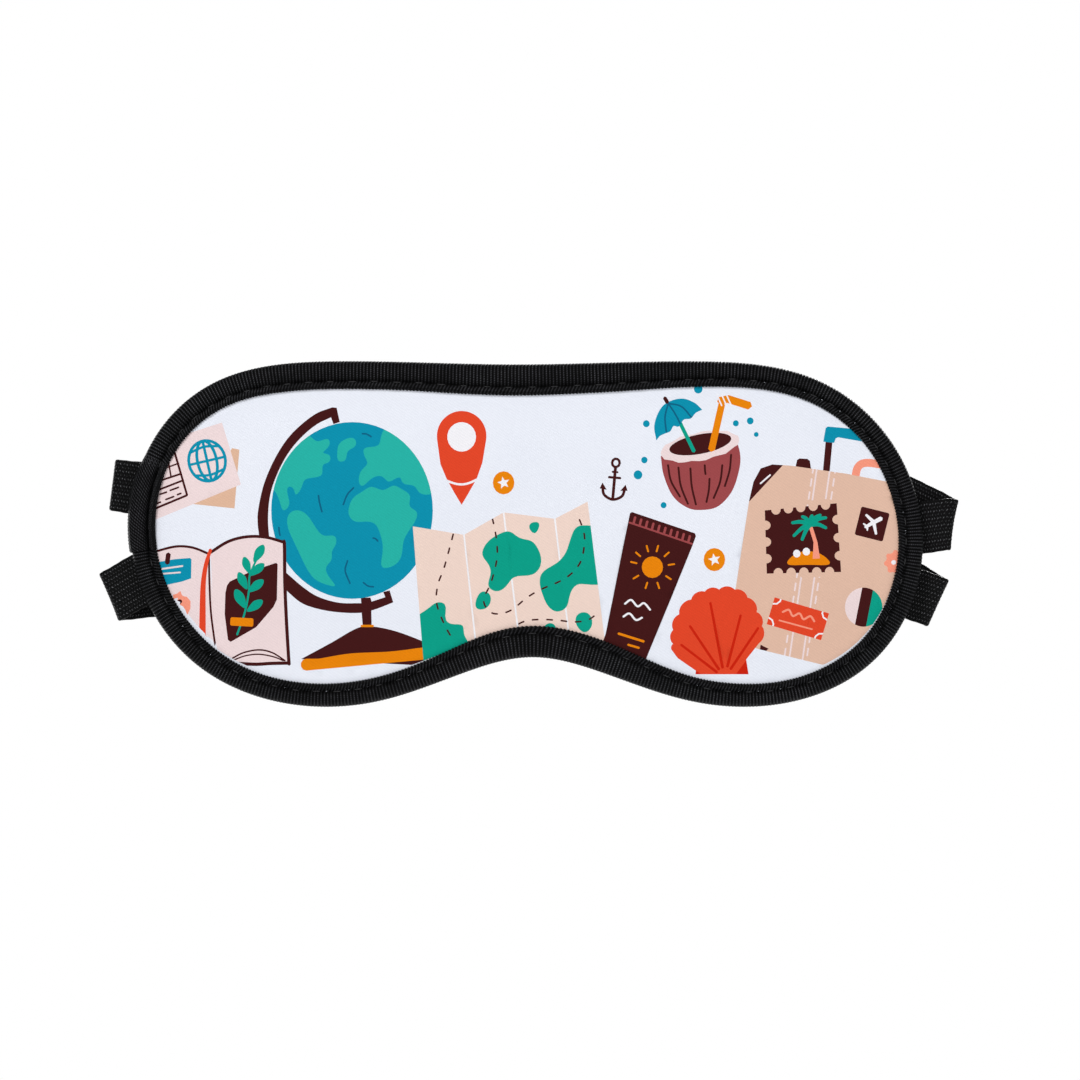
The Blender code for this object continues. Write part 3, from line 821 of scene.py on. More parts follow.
def draw_pin_and_coins(p):
    head = oval((-16.2, 24.6), 6.2, 6.3, 0, -8, 188, 26)
    pin = np.vstack([head, [(-21.5, 17.6), (-19.9, 13.8), (-18.0, 10.4), (-16.2, 7.4), (-14.3, 10.6),
                            (-12.4, 14.0), (-11.0, 18.0)]])
    p.add("red", pin)
    p.add("white", oval((-16.2, 24.4), 3.6, 3.7))
    p.clip = pin
    p.stroke("white", [(-20.8, 13.8), (-18.2, 12.8), (-16.2, 12.5), (-14.2, 12.9), (-11.6, 14.1)], 0.55)
    p.clip = None
    star = []
    for k in range(10):
        turn, reach = math.radians(90 + 36 * k), 0.7 if k % 2 else 1.6
        star.append((math.cos(turn) * reach, math.sin(turn) * reach))
    for x, z in ((-5.7, 12.9), (47.0, -6.3)):
        p.add("orange", oval((x, z), 2.7, 2.9))
        p.add("white", turned(star, 12, (x, z)))


def draw_anchor(p):
    """An anchor, drawn upright about its middle and then tilted."""
    tilt, place = -5, (22.0, 13.6)
    p.ring("maroon", turned(oval((0, 4.3), 0.95, 1.05), tilt, place), 0.65)
    flukes = open_curve([(-2.8, -2.0), (-2.2, -3.9), (0, -4.9), (2.2, -3.9), (2.8, -2.0)])
    for path, width in (([(0, 3.2), (0, -4.6)], 0.75), ([(-1.5, 0.6), (1.5, 0.6)], 0.6),
                        ([(-0.7, 2.0), (0.7, 2.0)], 0.5), (flukes, 0.7)):
        p.add("maroon", ribbon(turned(path, tilt, place), width))
    for side in (1, -1):
        p.add("maroon", turned([(side * 2.9, -0.9), (side * 1.7, -2.6), (side * 3.5, -2.4)], tilt, place))


def draw_drink(p):
    bowl = open_curve([(33.6, 19.6), (34.3, 14.9), (36.6, 9.6), (40.2, 6.7), (43.7, 6.1), (47.9, 7.0),
                       (51.4, 10.8), (53.2, 16.1), (53.5, 19.8), (52.6, 23.6)])
    p.add("brown", bowl)
    rim = oval((43.4, 22.0), 10.0, 3.5, 11, 0, 360, 34)
    rim += np.column_stack([np.zeros(34), 0.22 * np.sin(np.arange(34) * 1.9)])
    p.add("pink", rim)
    p.add("maroon", oval((43.5, 22.6), 7.9, 2.45, 11))
    for x, top, foot, lean in ((35.4, 17.4, 9.4, 3.0), (38.0, 16.8, 7.6, 2.4), (41.0, 16.6, 7.4, 1.4),
                               (44.6, 17.4, 15.0, 0.2), (45.8, 14.0, 8.0, -0.8), (49.0, 17.4, 9.0, -2.2),
                               (51.2, 20.0, 12.0, -1.6)):
        p.stroke("maroon", [(x, top), (x + 0.25 * lean, (top + foot) / 2), (x + lean, foot)], 0.5)
    p.line("green", (38.3, 28.2), (41.9, 20.8), 0.95)
    crown = open_curve([(32.5, 23.5), (32.0, 27.3), (33.4, 31.2), (35.6, 33.2), (39, 34.0), (42, 33.0),
                        (44.0, 31.2)])
    scallops = open_curve([(44.0, 31.2), (42.4, 30.4), (41.1, 29.0), (39.4, 28.7), (38.1, 27.0), (36.8, 27.1),
                           (36.0, 25.8), (34.6, 25.2), (33.4, 24.6), (32.5, 23.5)])
    p.add("blue", np.vstack([crown, scallops]))
    for middle, foot in (((34.7, 29.4), (35.0, 25.6)), ((37.2, 30.2), (38.5, 27.7)),
                         ((38.8, 32.0), (41.3, 29.3))):
        p.stroke("deep_blue", [(35.5, 32.8), middle, foot], 0.42)
    p.line("maroon", (34.6, 34.2), (35.3, 33.0), 0.95)
    p.line("orange", (46.3, 21.2), (48.9, 32.6), 1.7)
    p.add("orange", ribbon([(48.4, 33.4), (50.4, 33.9), (55.8, 32.2)], 2.0))
    for x in (48.4, 49.6, 50.8):
        p.line("white", (x - 0.7, 34.9), (x + 0.5, 32.2), 0.35)
    for x, z, r in ((30.0, 27.7, 0.85), (52.4, 27.8, 0.75), (56.0, 28.4, 0.85), (29.5, 18.6, 0.8),
                    (27.9, 14.9, 1.1), (34.3, 7.3, 0.75), (43.0, 36.4, 1.1), (57.5, 25.0, 0.6)):
        p.add("blue", oval((x, z), r, r * 1.05, 0, 0, 360, 12))


def draw_tube(p):
    p.add("maroon", [(25.9, 5.3), (26.4, 5.6), (42.1, 0.3), (42.4, -0.4), (41.6, -2.6), (29.4, -32.5),
                     (17.5, -31), (19.8, -25)])
    p.line("brown", (25.7, 3.0), (41.5, -2.4), 0.45)
    for k in range(10):
        t = (k + 0.7) / 10.4
        foot = (25.7 + 15.8 * t, 3.0 - 5.4 * t)
        p.line("brown", foot, (foot[0] + 0.45, foot[1] + 1.7), 0.6)
    p.add("orange", oval((31.5, -8.2), 2.65, 2.7))
    for angle in (8, 42, 75, 105, 138, 166, 211, 252, 288, 327):
        turn = math.radians(angle)
        ray = [(31.5 + r * math.cos(turn), -8.2 + r * math.sin(turn)) for r in (4.0, 5.6)]
        p.line("orange", *ray, 0.45)
    p.stroke("white", [(24.6, -17.4), (26.2, -16.4), (27.8, -18.0), (29.4, -17.2), (31.0, -18.9)], 0.5)
    p.stroke("white", [(24.2, -20.6), (25.8, -19.8), (27.4, -21.4), (29.0, -20.8)], 0.5)
    p.line("orange", (23.0, -24.8), (29.4, -26.8), 0.6)
    p.line("orange", (25.4, -27.6), (28.2, -28.4), 0.55)


def draw_suitcase(p):
    p.line("maroon", (75.8, 24.0), (74.9, 14.5), 1.7)
    p.add("blue", [(74.3, 23.2), (74.9, 26.6), (75.4, 27.0), (81.1, 26.5), (88, 25.0), (88, 21.8),
                   (84.3, 23.2), (78.0, 24.3), (77.4, 24.0), (77.0, 22.9)])
    p.stroke("coral", [(82.2, 13.6), (82.9, 16.7), (84.9, 17.9), (89.2, 17.4), (94, 16.6)], 2.0)
    p.add("maroon", [(67.2, 16.4), (67.7, 18.6), (68.3, 19.0), (70.3, 18.9), (70.9, 18.4), (71.3, 15.8)])
    body = np.array([(55.7, 8.5), (56.8, 13.2), (58.6, 16.5), (61.5, 17.5), (66, 17.2), (80, 15.2),
                     (91.3, 13.0), (101, 11), (101, -26), (86, -30), (74, -32.6), (58.5, -28.8),
                     (48.8, -26.0), (52.4, -13)])
    p.add("tan", body)
    p.clip = body
    p.add("maroon", [(53, 8.5), (55.8, 8.3), (64.6, 17.8), (56, 19)])
    p.line("white", (58.5, 12.7), (61.0, 14.9), 0.4)
    p.add("maroon", [(58.6, -27.6), (60.6, -28.6), (58.0, -31)])
    for top, foot, dashed in (((71.9, 17.5), (64.5, -31.0), True), ((72.8, 17.5), (65.8, -31.0), False),
                              ((76.1, 17.5), (69.0, -32.0), False), ((77.5, 17.5), (70.0, -32.0), True)):
        if dashed:
            p.dashes("pink", np.linspace(top, foot, 6), 0.42, 1.9, 1.4)
        else:
            p.line("pink", top, foot, 0.42)
    p.clip = None
    draw_stamp(p)
    p.add("maroon", box_shape((86.5, 2.6), 7.3, 7.3, -14, 0.5))
    p.stroke("white", [(84.8, 1.8), (86.7, 2.9), (88.8, 4.0)], 0.75, 1.1)
    for start, end, width in (((86.9, 3.1), (85.0, 4.9), 0.95), ((86.9, 3.1), (87.5, 0.1), 0.95),
                              ((85.3, 2.0), (84.3, 2.7), 0.6), ((85.3, 2.0), (85.3, 1.0), 0.6)):
        p.add("white", ribbon([start, end], width, 0.6 * width))
    gear = [turned([(3.1 if k % 4 < 2 else 2.6, 0)], 360 * k / 32)[0] for k in range(32)]
    p.add("coral", np.array(gear) + (92.6, -7.0))
    p.add("white", oval((91.9, -7.0), 0.6, 0.6))
    middle = (84.4, -18.2)
    sticker = oval(middle, 4.7, 4.9, steps=40)
    p.add("pink", sticker)
    p.clip = sticker
    for ink, left, right in (("maroon", -1.3, 1.5), ("green", 1.5, 6)):
        p.add(ink, turned([(left, -6), (right, -6), (right, 6), (left, 6)], -11, middle))
    p.clip = None
    tilt, middle = -16.5, (67.9, -21.1)
    ticket = turned([(-7.1, 3.5), (7.1, 3.5), (7.1, -3.5), (-7.1, -3.5)], tilt, middle)
    p.add("red", ticket)
    p.clip = ticket
    for corner in ticket:
        p.ring("white", oval(corner, 1.7, 1.7), 0.4)
    p.clip = None
    wavy = open_curve([(-4.2, 0.5), (-2.8, 1.5), (-1.4, 0.3), (0, 1.4), (1.4, 0.3), (2.8, 1.5), (4.2, 0.5)])
    p.add("coral", ribbon(turned(wavy, tilt, middle), 0.5))
    p.line("coral", *turned([(-4.4, -1.7), (4.2, -1.5)], tilt, middle), 0.4)


def draw_stamp(p):
    corners = [(59.6, 6.0), (77.6, 7.8), (78.7, -9.4), (60.1, -9.8)]
    p.add("maroon", corners)
    for k in range(4):
        a, b = np.array(corners[k]), np.array(corners[(k + 1) % 4])
        notches = 3 if k % 2 else 5
        for i in range(notches):
            centre = a + (b - a) * (i + 0.9) / (notches + 0.8)
            p.add("tan", oval(centre, 1.2, 1.35, 90 * (k % 2), 0, 360, 14))
    p.add("orange", closed_spline([(65.2, -7.0), (66.8, -5.2), (70.6, -4.2), (74.4, -5.4), (75.9, -7.0),
                                   (70.6, -7.6)]))
    p.add("coral", [(70.6, 2.0), (71.6, 1.8), (72.8, -2.0), (73.4, -6.0), (71.6, -6.1), (71.8, -2.0)])
    for x, z in ((75.0, 4.2), (75.0, 1.6), (71.5, 4.8), (73.6, 4.9), (68.9, 4.5), (66.4, 2.9), (66.8, -0.4),
                 (68.9, -1.4)):
        p.stroke("green", [(70.9, 2.5), ((70.9 + x) / 2, (2.5 + z) / 2 + 0.45), (x, z)], 1.3, 0.75)
    p.add("white", oval((67.6, -4.8), 0.95, 1.0))
    p.add("white", oval((70.0, -4.3), 0.95, 1.0))


def draw_shell(p):
    dips = np.array([(36.4, -29.0), (36.7, -27.4), (36.7, -23.9), (38.2, -20.0), (41.2, -16.3),
                     (44.6, -14.3), (48.2, -13.8), (52.1, -13.8), (55.3, -15.8), (57.6, -19.4),
                     (58.9, -22.9), (58.2, -27.2)])
    rim = []
    for a, b in zip(dips, dips[1:]):
        outward = np.array([a[1] - b[1], b[0] - a[0]]) * 0.21
        for t in np.linspace(0, 1, 8, endpoint=False):
            rim.append(a + (b - a) * t + outward * math.sin(math.pi * t) ** 0.7)
    p.add("red", rim + [(58.2, -27.2), (55.0, -31.3), (55.6, -35.0), (42.3, -35.0), (42.4, -34.1),
                        (37.9, -31.0)])
    p.add("deep_red", [(55.0, -31.6), (55.6, -35.0), (52.4, -35.0)])
    p.add("deep_red", [(42.4, -34.1), (42.3, -35.0), (43.7, -35.0)])
    for foot, top in (((47.7, -34.5), (38.7, -27.6)), ((48.2, -33.8), (40.9, -22.9)),
                      ((49.1, -33.4), (46.0, -17.1)), ((50.3, -33.1), (53.6, -20.2)),
                      ((51.1, -33.7), (58.0, -23.4))):
        p.add("deep_red", ribbon([foot, top], 0.7, 0.6))


def travel_print():
    """Every shape of the print, from the lowest to the topmost."""
    p = Print()
    for draw in (draw_cards, draw_globe, draw_notebook, draw_map, draw_pin_and_coins, draw_anchor, draw_drink,
                 draw_suitcase, draw_tube, draw_shell):
        draw(p)
    return p.shapes


def inside(places, polygon):
    """Which places a closed outline winds round."""
    winding = np.zeros(len(places), int)
    x, z = places[:, 0], places[:, 1]
    for (ax, az), (bx, bz) in zip(polygon, np.roll(polygon, -1, axis=0)):
        left = (bx - ax) * (z - az) - (x - ax) * (bz - az)
        winding += (az <= z) & (bz > z) & (left > 0)
        winding -= (az > z) & (bz <= z) & (left < 0)
    return winding != 0


# ---------------------------------------------------------------- the pad

def drawn_rise(places):
    """Height of the pad's surface above its middle plane before the simulation."""
    depth, s = EDGE.nearest(places)
    t = np.clip((depth - EDGE.tape_reach(s) + 1.0) / SWELL_WIDTH, 0, 1)
    return PINCHED_RISE + (FULL_RISE - PINCHED_RISE) * np.sin(t * math.pi / 2) ** 0.9


def pad_rise(places, side, swollen):
    """Height of one side of the pad: the simulated swelling, easing into the seam and its small puckers."""
    depth, s = EDGE.nearest(places)
    reach = EDGE.tape_reach(s)
    rise = drawn_rise(places)
    if swollen is not None:
        ease = np.clip((depth - reach) / SEAM_EASE, 0, 1)
        ease = ease**2 * (3 - 2 * ease)
        rise = (1 - ease) * rise + ease * surface_rise(swollen, places, side, rise)
    fade = np.exp(-np.clip(depth - reach, 0, None) / PUCKER_LENGTH) * np.clip((depth - 4) / 2, 0, 1)
    pucker = np.cos(2 * math.pi * s / STITCH_PITCH + wander(s, 2.0)) * (0.6 + wander(s, 0.5))
    return rise + PUCKER_HEIGHT * fade * pucker


def surface_rise(surface, places, side, otherwise):
    """Height of a surface over each place, looked up along Y, or the other height where it isn't there."""
    found = np.array(otherwise, float)
    start = MIDDLE_Y + side * RAY_START
    for i, (x, z) in enumerate(places):
        hit = surface.ray_cast(Vector((x, start, z)), Vector((0, -side, 0)))[0]
        if hit is not None:
            found[i] = abs(hit.y - MIDDLE_Y)
    return found


def swell_padding():
    """A closed pad that a cloth simulation has blown up between its held seams, as a surface to measure."""
    rim, points, triangles = pad_net(SWELL_RINGS, SWELL_CLEARANCE, SWELL_STEP)
    rise = SWELL_START * drawn_rise(points)
    made, held = closed_pad("swelling", points, triangles, rise, rim, None)
    group = made.vertex_groups.new(name="seam")
    group.add(held, 1.0, "REPLACE")
    cloth = made.modifiers.new("swell", "CLOTH")
    cloth.settings.vertex_group_mass = "seam"
    cloth.settings.use_pressure = True
    cloth.settings.uniform_pressure_force = SWELL_PRESSURE
    cloth.settings.effector_weights.gravity = 0
    cloth.point_cache.frame_end = SWELL_FRAMES
    start = vertices_mm(made.data)
    for number in range(1, SWELL_FRAMES + 1):
        bpy.context.scene.frame_set(number)
    shape = made.evaluated_get(bpy.context.evaluated_depsgraph_get()).data
    moved = vertices_mm(shape) - start
    bpy.context.scene.frame_set(1)
    faces = [tuple(p.vertices) for p in made.data.polygons]
    bpy.data.meshes.remove(made.data)
    far = np.linalg.norm(moved, axis=1)[:, None]
    shape = start + moved * np.minimum(1, SWELL_CAP / np.maximum(far, 1e-6))
    lift = np.abs(shape[:, 1] - MIDDLE_Y)
    shape[:, 1] = MIDDLE_Y + (shape[:, 1] - MIDDLE_Y) * FULL_RISE / lift.max()
    return BVHTree.FromPolygons(shape.tolist(), faces)


def grid_points(clearance, step):
    """Even places inside the mask, at least this far from its edge."""
    lo, hi = EDGE.points.min(axis=0), EDGE.points.max(axis=0)
    rows = np.arange(lo[1], hi[1], step * ROW_SHARE)
    places = np.array([(x, z) for k, z in enumerate(rows)
                       for x in np.arange(lo[0] + (k % 2) * step / 2, hi[0], step)])
    places = places[inside(places, EDGE.points[:-1:8])]
    return places[EDGE.nearest(places)[0] > clearance]


def triangulate(outlines, places):
    """Triangles over every outline's area, with an edge along each outline."""
    points, edges = [], []
    for outline in outlines:
        first = len(points)
        points += [Vector(p) for p in outline]
        edges += [(first + i, first + (i + 1) % len(outline)) for i in range(len(outline))]
    points += [Vector(p) for p in places]
    made = delaunay_2d_cdt(points, edges, [], 0, 1e-4)
    return np.array([tuple(p) for p in made[0]]), np.array(made[2])


def pad_net(rings, clearance, step, outlines=()):
    """The pad's cut outline, and points and triangles over its area, closer together near the edge."""
    rings = [EDGE.inset(inset, ring_step) for inset, ring_step in rings]
    points, triangles = triangulate(rings + list(outlines), grid_points(clearance, step))
    return rings[0], points, triangles[inside(points[triangles].mean(axis=1), rings[0])]


def closed_pad(name, points, triangles, rise, rim, material):
    """A closed pad: a front and a back skin over these points, joined by a wall round the rim."""
    count = len(points)
    placed = np.vstack([stand(points, MIDDLE_Y + side * rise) for side in (-1, 1)])
    order = [int(np.linalg.norm(points - place, axis=1).argmin()) for place in rim]
    walls = [(order[i], order[i - 1], order[i - 1] + count, order[i] + count) for i in range(len(rim))]
    skins = triangles.tolist() + (triangles[:, ::-1] + count).tolist()
    made = make_mesh(name, placed, skins + walls, material)
    face_outwards(made)
    return made, order + [i + count for i in order]


def fabric_sheet(name, side, outlines, swollen, material):
    """One skin of the pad: side is -1 for the printed face and +1 for the lining."""
    _, points, triangles = pad_net(FABRIC_RINGS, FABRIC_CLEARANCE, GRID_STEP, outlines)
    placed = stand(points, MIDDLE_Y + side * pad_rise(points, side, swollen))
    a, b, c = (points[triangles[:, k]] for k in range(3))
    area = (b[:, 0] - a[:, 0]) * (c[:, 1] - a[:, 1]) - (b[:, 1] - a[:, 1]) * (c[:, 0] - a[:, 0])
    real = np.abs(area) > SMALLEST_AREA
    triangles, area = triangles[real], area[real]
    flip = (area > 0) if side > 0 else (area < 0)
    triangles[flip] = triangles[flip][:, ::-1]
    used, index = np.unique(triangles, return_inverse=True)
    made = make_mesh(name, placed[used], index.reshape(-1, 3).tolist(), material)
    lo, hi = points[used].min(axis=0), points[used].max(axis=0)
    add_uv(made, "OFBake", (points[used] - lo) / (hi - lo))
    solid = made.modifiers.new("thickness", "SOLIDIFY")
    solid.thickness = FABRIC_THICKNESS * MM
    solid.offset = -1
    solid.use_rim = True
    return made


def paint_print(made, shapes):
    """Gives each face of the printed fabric the ink of the topmost shape over it."""
    mesh = made.data
    centres = np.array([p.center for p in mesh.polygons])[:, [0, 2]] / MM
    colours = np.tile(WHITE, (len(centres), 1))
    cloth = print_limit()
    printed = inside(centres, cloth)
    for ink, outline, clip in shapes:
        lo, hi = outline.min(axis=0), outline.max(axis=0)
        near = np.flatnonzero(printed & ((centres >= lo) & (centres <= hi)).all(axis=1))
        hit = near[inside(centres[near], outline)]
        if clip is not None:
            hit = hit[inside(centres[hit], clip)]
        colours[hit] = INK[ink]
    layer = mesh.color_attributes.new("Print", "FLOAT_COLOR", "CORNER")
    values = np.ones((len(mesh.loops), 4), np.float32)
    for polygon, colour in zip(mesh.polygons, colours):
        values[list(polygon.loop_indices), :3] = colour
    layer.data.foreach_set("color", values.ravel())


def print_limit():
    """Outline of the printed area, which is a little off centre. The fabric outside it is plain white."""
    return EDGE.inset(PRINT_INSET) + PRINT_SHIFT


def build_pad(materials):
    """The foam, the printed face and the lining, which all follow one swollen surface."""
    swollen = swell_padding()
    build_foam(swollen, materials["foam"])
    shapes = travel_print()
    outlines = [print_limit()] + [outline for _, outline, _ in shapes]
    face = fabric_sheet("printed_face", -1, outlines, swollen, materials["face"])
    paint_print(face, shapes)
    lining = fabric_sheet("soft_lining", 1, [], swollen, materials["lining"])
    for piece, slot, node in ((face, "face_print", "face_fabric"), (lining, "lining", "back_lining")):
        sew_on(piece, slot, node)


def build_foam(swollen, material):
    """The padding sheet: squeezed flat under the binding, full in the middle."""
    rim, points, triangles = pad_net(FOAM_RINGS, FOAM_CLEARANCE, 2 * GRID_STEP)
    lower_side = np.minimum(pad_rise(points, -1, swollen), pad_rise(points, 1, swollen))
    rise = lower_side - FABRIC_THICKNESS - FOAM_GAP
    made, _ = closed_pad("padding_foam", points, triangles, rise, rim, material)
    sew_on(made, "foam", "foam_core")


# ---------------------------------------------------------------- the binding

def tape_profile(stitch, reach, valley):
    """(inset, rise) control points of the tape's outer side, from its fold to its inner edge."""
    return np.array([
        (0.0, 0.0), (0.10 * stitch, 0.50 * ROLL_RISE), (0.30 * stitch, 0.83 * ROLL_RISE),
        (0.56 * stitch, ROLL_RISE), (0.78 * stitch, 0.955 * ROLL_RISE),
        (stitch - 0.45, 0.5 * (valley + ROLL_RISE)), (stitch, valley),
        (stitch + 0.45, 0.4 * valley + 0.6 * LIP_RISE), (0.5 * (stitch + reach) + 0.2, LIP_RISE),
        (reach - 0.35, LIP_RISE - 0.1), (reach, LIP_RISE - 0.45), (reach + 0.02, TAPE_END_RISE + 0.3),
        (reach - 0.35, TAPE_END_RISE),
    ])


def seam_inset(s):
    """How far the stitched seam lies inside the outer edge."""
    return EDGE.tape_reach(s) - LIP_WIDTH + wander(s, 0.05)


def tape_sections(s, side, lift=0.0, detail=1):
    """Profile points of one side of the tape for each distance along the edge."""
    point, inward = EDGE.at(s)
    stitch = seam_inset(s)
    reach = EDGE.tape_reach(s) + wander(s, 0.07, (5, 11, 17))
    pinch = (0.5 + 0.5 * np.cos(2 * math.pi * s / seam_pitch())) ** 3
    valley = VALLEY_RISE - PINCH_DEPTH * pinch + wander(s, 0.03, (9, 23, 31))
    sections = []
    for k in range(len(s)):
        controls = tape_profile(stitch[k], reach[k], valley[k])
        travel = distances(controls)
        marks = np.concatenate([np.linspace(0, travel[5], 8 * detail, endpoint=False),
                                np.linspace(travel[5], travel[-1], 9 * detail)])
        sections.append(np.column_stack([np.interp(marks, travel, controls[:, i]) for i in (0, 1)]))
    sections = np.array(sections)
    sections[:, :, 1] += lift * np.clip(sections[:, :, 1] / ROLL_RISE, 0, 1)
    sections[:, :, 0] -= lift * np.clip(1 - sections[:, :, 0] / 2.0, 0, 1)
    sections[:, :, 1] *= side
    return point, inward, sections


def seam_pitch():
    """The stitch pitch that fits the whole edge without a remainder."""
    return EDGE.length / round(EDGE.length / STITCH_PITCH)


def tape_surface(s, ribs, lift=0.0, slant=0.0, detail=1):
    """Points of the ribbed tape at these distances, from its back inner edge to its front one."""
    point, inward, front = tape_sections(s, -1, lift, detail)
    _, _, back = tape_sections(s, 1, lift, detail)
    section = np.concatenate([back[:, ::-1], front[:, 1:]], axis=1)
    along = np.gradient(section, axis=1)
    along /= np.linalg.norm(along, axis=2)[:, :, None]
    outward = np.stack([-along[:, :, 1], along[:, :, 0]], axis=2)
    outward *= np.sign((outward * (section - (3.0, 0.0))).sum(axis=2))[:, :, None]
    width = section.shape[1]
    v = np.abs(np.arange(width) - (width - 1) / 2) / ((width - 1) / 2)
    lip = np.clip((v - 0.6) / 0.4, 0, 1)
    phase = ribs[:, None] + slant * np.arange(width)[None, :] / width + RIB_LEAN * lip[None, :]
    fold = np.clip(section[:, :, 0] / 1.2, 0, 1)
    height = RIB_HEIGHT * np.cos(2 * math.pi * phase) * (0.35 + 0.65 * fold)
    height += 0.02 * np.sin(7.3 * ribs)[:, None]
    section = section + outward * height[:, :, None]
    flat = point[:, None] + inward[:, None] * section[:, :, :1]
    depth = MIDDLE_Y + section[:, :, 1]
    weave = np.stack([phase, np.broadcast_to(v * WEAVE_ACROSS, phase.shape)], axis=2)
    return np.stack([flat[:, :, 0], depth, flat[:, :, 1]], axis=2), weave


def build_binding(material):
    """The grosgrain tape, each of its ribs modelled, and its overlapped end at the left side."""
    count = round(EDGE.length / RIB_PITCH)
    samples = count * RIB_SAMPLES
    ribs = np.arange(samples) / RIB_SAMPLES
    s = ribs * EDGE.length / count
    surface, weave = tape_surface(s, ribs)
    inner = tape_inner(s)
    loop = np.concatenate([surface, inner], axis=1)
    faces = grid_faces(samples, loop.shape[1], close_rows=True, close_columns=True)
    made = make_mesh("ribbed_binding", loop.reshape(-1, 3), faces, material)
    face_outwards(made)
    uv = np.concatenate([weave, np.repeat(weave[:, -1:], inner.shape[1], axis=1)], axis=1)
    add_uv(made, "Weave", uv.reshape(-1, 2))
    sew_on(made, "binding_tape", "edge_binding")
    build_tape_end(material)


def tape_inner(s):
    """The tape's inner side, which lies on the pad's two skins."""
    point, inward = EDGE.at(s)
    edge = EDGE.tape_reach(s) - 0.6
    low, high = -TAPE_INNER_RISE, TAPE_INNER_RISE
    rings = []
    for inset, rise in ((edge, low), (2.6, low), (2.3, 0.0), (2.6, high), (edge, high)):
        flat = point + inward * np.broadcast_to(inset, len(s))[:, None]
        rings.append(stand(flat, MIDDLE_Y + rise))
    return np.stack(rings, axis=1)


def build_tape_end(material):
    """The tape's last stretch, lapped over its start, with slanted ribs and a folded end."""
    low, high = sorted(EDGE.s_at(-1, z) for z in LAP_HEIGHTS)
    ribs = np.arange(0, (high - low) / RIB_PITCH, 1 / RIB_SAMPLES)
    s = low + ribs * RIB_PITCH
    over, weave = tape_surface(s, ribs, LAP_LIFT, LAP_SLANT, 4)
    under, _ = tape_surface(s, np.full(len(s), 0.25), -0.3, 0.0, 4)
    ease = np.clip(0.6 + (s - low) / 1.2, 0, 1) * np.clip((high - s) / 7.0, 0, 1)
    over = under + (over - under) * (0.3 + 0.7 * ease)[:, None, None]
    loop = np.concatenate([over, under[:, ::-1]], axis=1)
    width, columns = over.shape[1], loop.shape[1]
    faces = grid_faces(len(s), columns, close_columns=True)
    for row in (0, len(s) - 1):
        first = row * columns
        for i in range(width - 1):
            faces.append((first + i, first + i + 1, first + columns - 2 - i, first + columns - 1 - i))
    made = make_mesh("binding_lapped_end", loop.reshape(-1, 3), faces, material)
    face_outwards(made)
    add_uv(made, "Weave", np.concatenate([weave, weave[:, ::-1]], axis=1).reshape(-1, 2))
    sew_on(made, "binding_tape")


def thread_tube(path, radius, sides):
    """Rings of points round a path."""
    path = np.asarray(path, float)
    along = np.gradient(path, axis=0)
    along /= np.linalg.norm(along, axis=1)[:, None]
    side = np.cross(along, (0.0, 1.0, 0.0))
    side /= np.linalg.norm(side, axis=1)[:, None]
    up = np.cross(side, along)
    turns = 2 * math.pi * np.arange(sides) / sides
    radius = np.broadcast_to(radius, len(path))[:, None, None]
    ring = side[:, None] * np.cos(turns)[None, :, None] + up[:, None] * np.sin(turns)[None, :, None]
    return path[:, None] + ring * radius


def build_stitches(name, side, node, material):
    """One row of separate seam stitches, each dipping into the tape at both ends."""
    pitch = seam_pitch()
    points, faces, uv = [], [], []
    shape = np.linspace(-1, 1, STITCH_RINGS)
    for k in range(round(EDGE.length / pitch)):
        s = (k + 0.5) * pitch + shape * STITCH_LENGTH / 2
        place, inward = EDGE.at(s)
        rise = VALLEY_RISE + 0.2 - 0.6 * np.abs(shape) ** 4 + 0.03 * math.sin(5.1 * k)
        flat = place + inward * (seam_inset(s) + 0.06 * math.sin(3.7 * k))[:, None]
        path = stand(flat, MIDDLE_Y + side * rise)
        rings = thread_tube(path, THREAD_RADIUS * (1 - 0.45 * np.abs(shape) ** 3), THREAD_SIDES)
        first = len(points)
        points += rings.reshape(-1, 3).tolist()
        faces += [tuple(first + i for i in face) for face in tube_faces(STITCH_RINGS, THREAD_SIDES)]
        uv += [(a * 2.0, b) for a in shape for b in range(THREAD_SIDES)]
    made = make_mesh(name, points, faces, material)
    face_outwards(made)
    add_uv(made, "Weave", uv)
    sew_on(made, "thread", node)


# ---------------------------------------------------------------- the straps

def heading_vector(side, degrees):
    """Outward unit vector in the mask's plane, and the strap's width direction across it."""
    turn = math.radians(degrees)
    outward = np.array([side * math.cos(turn), 0.0, math.sin(turn)])
    return outward, np.array([-side * math.sin(turn), 0.0, math.cos(turn)])


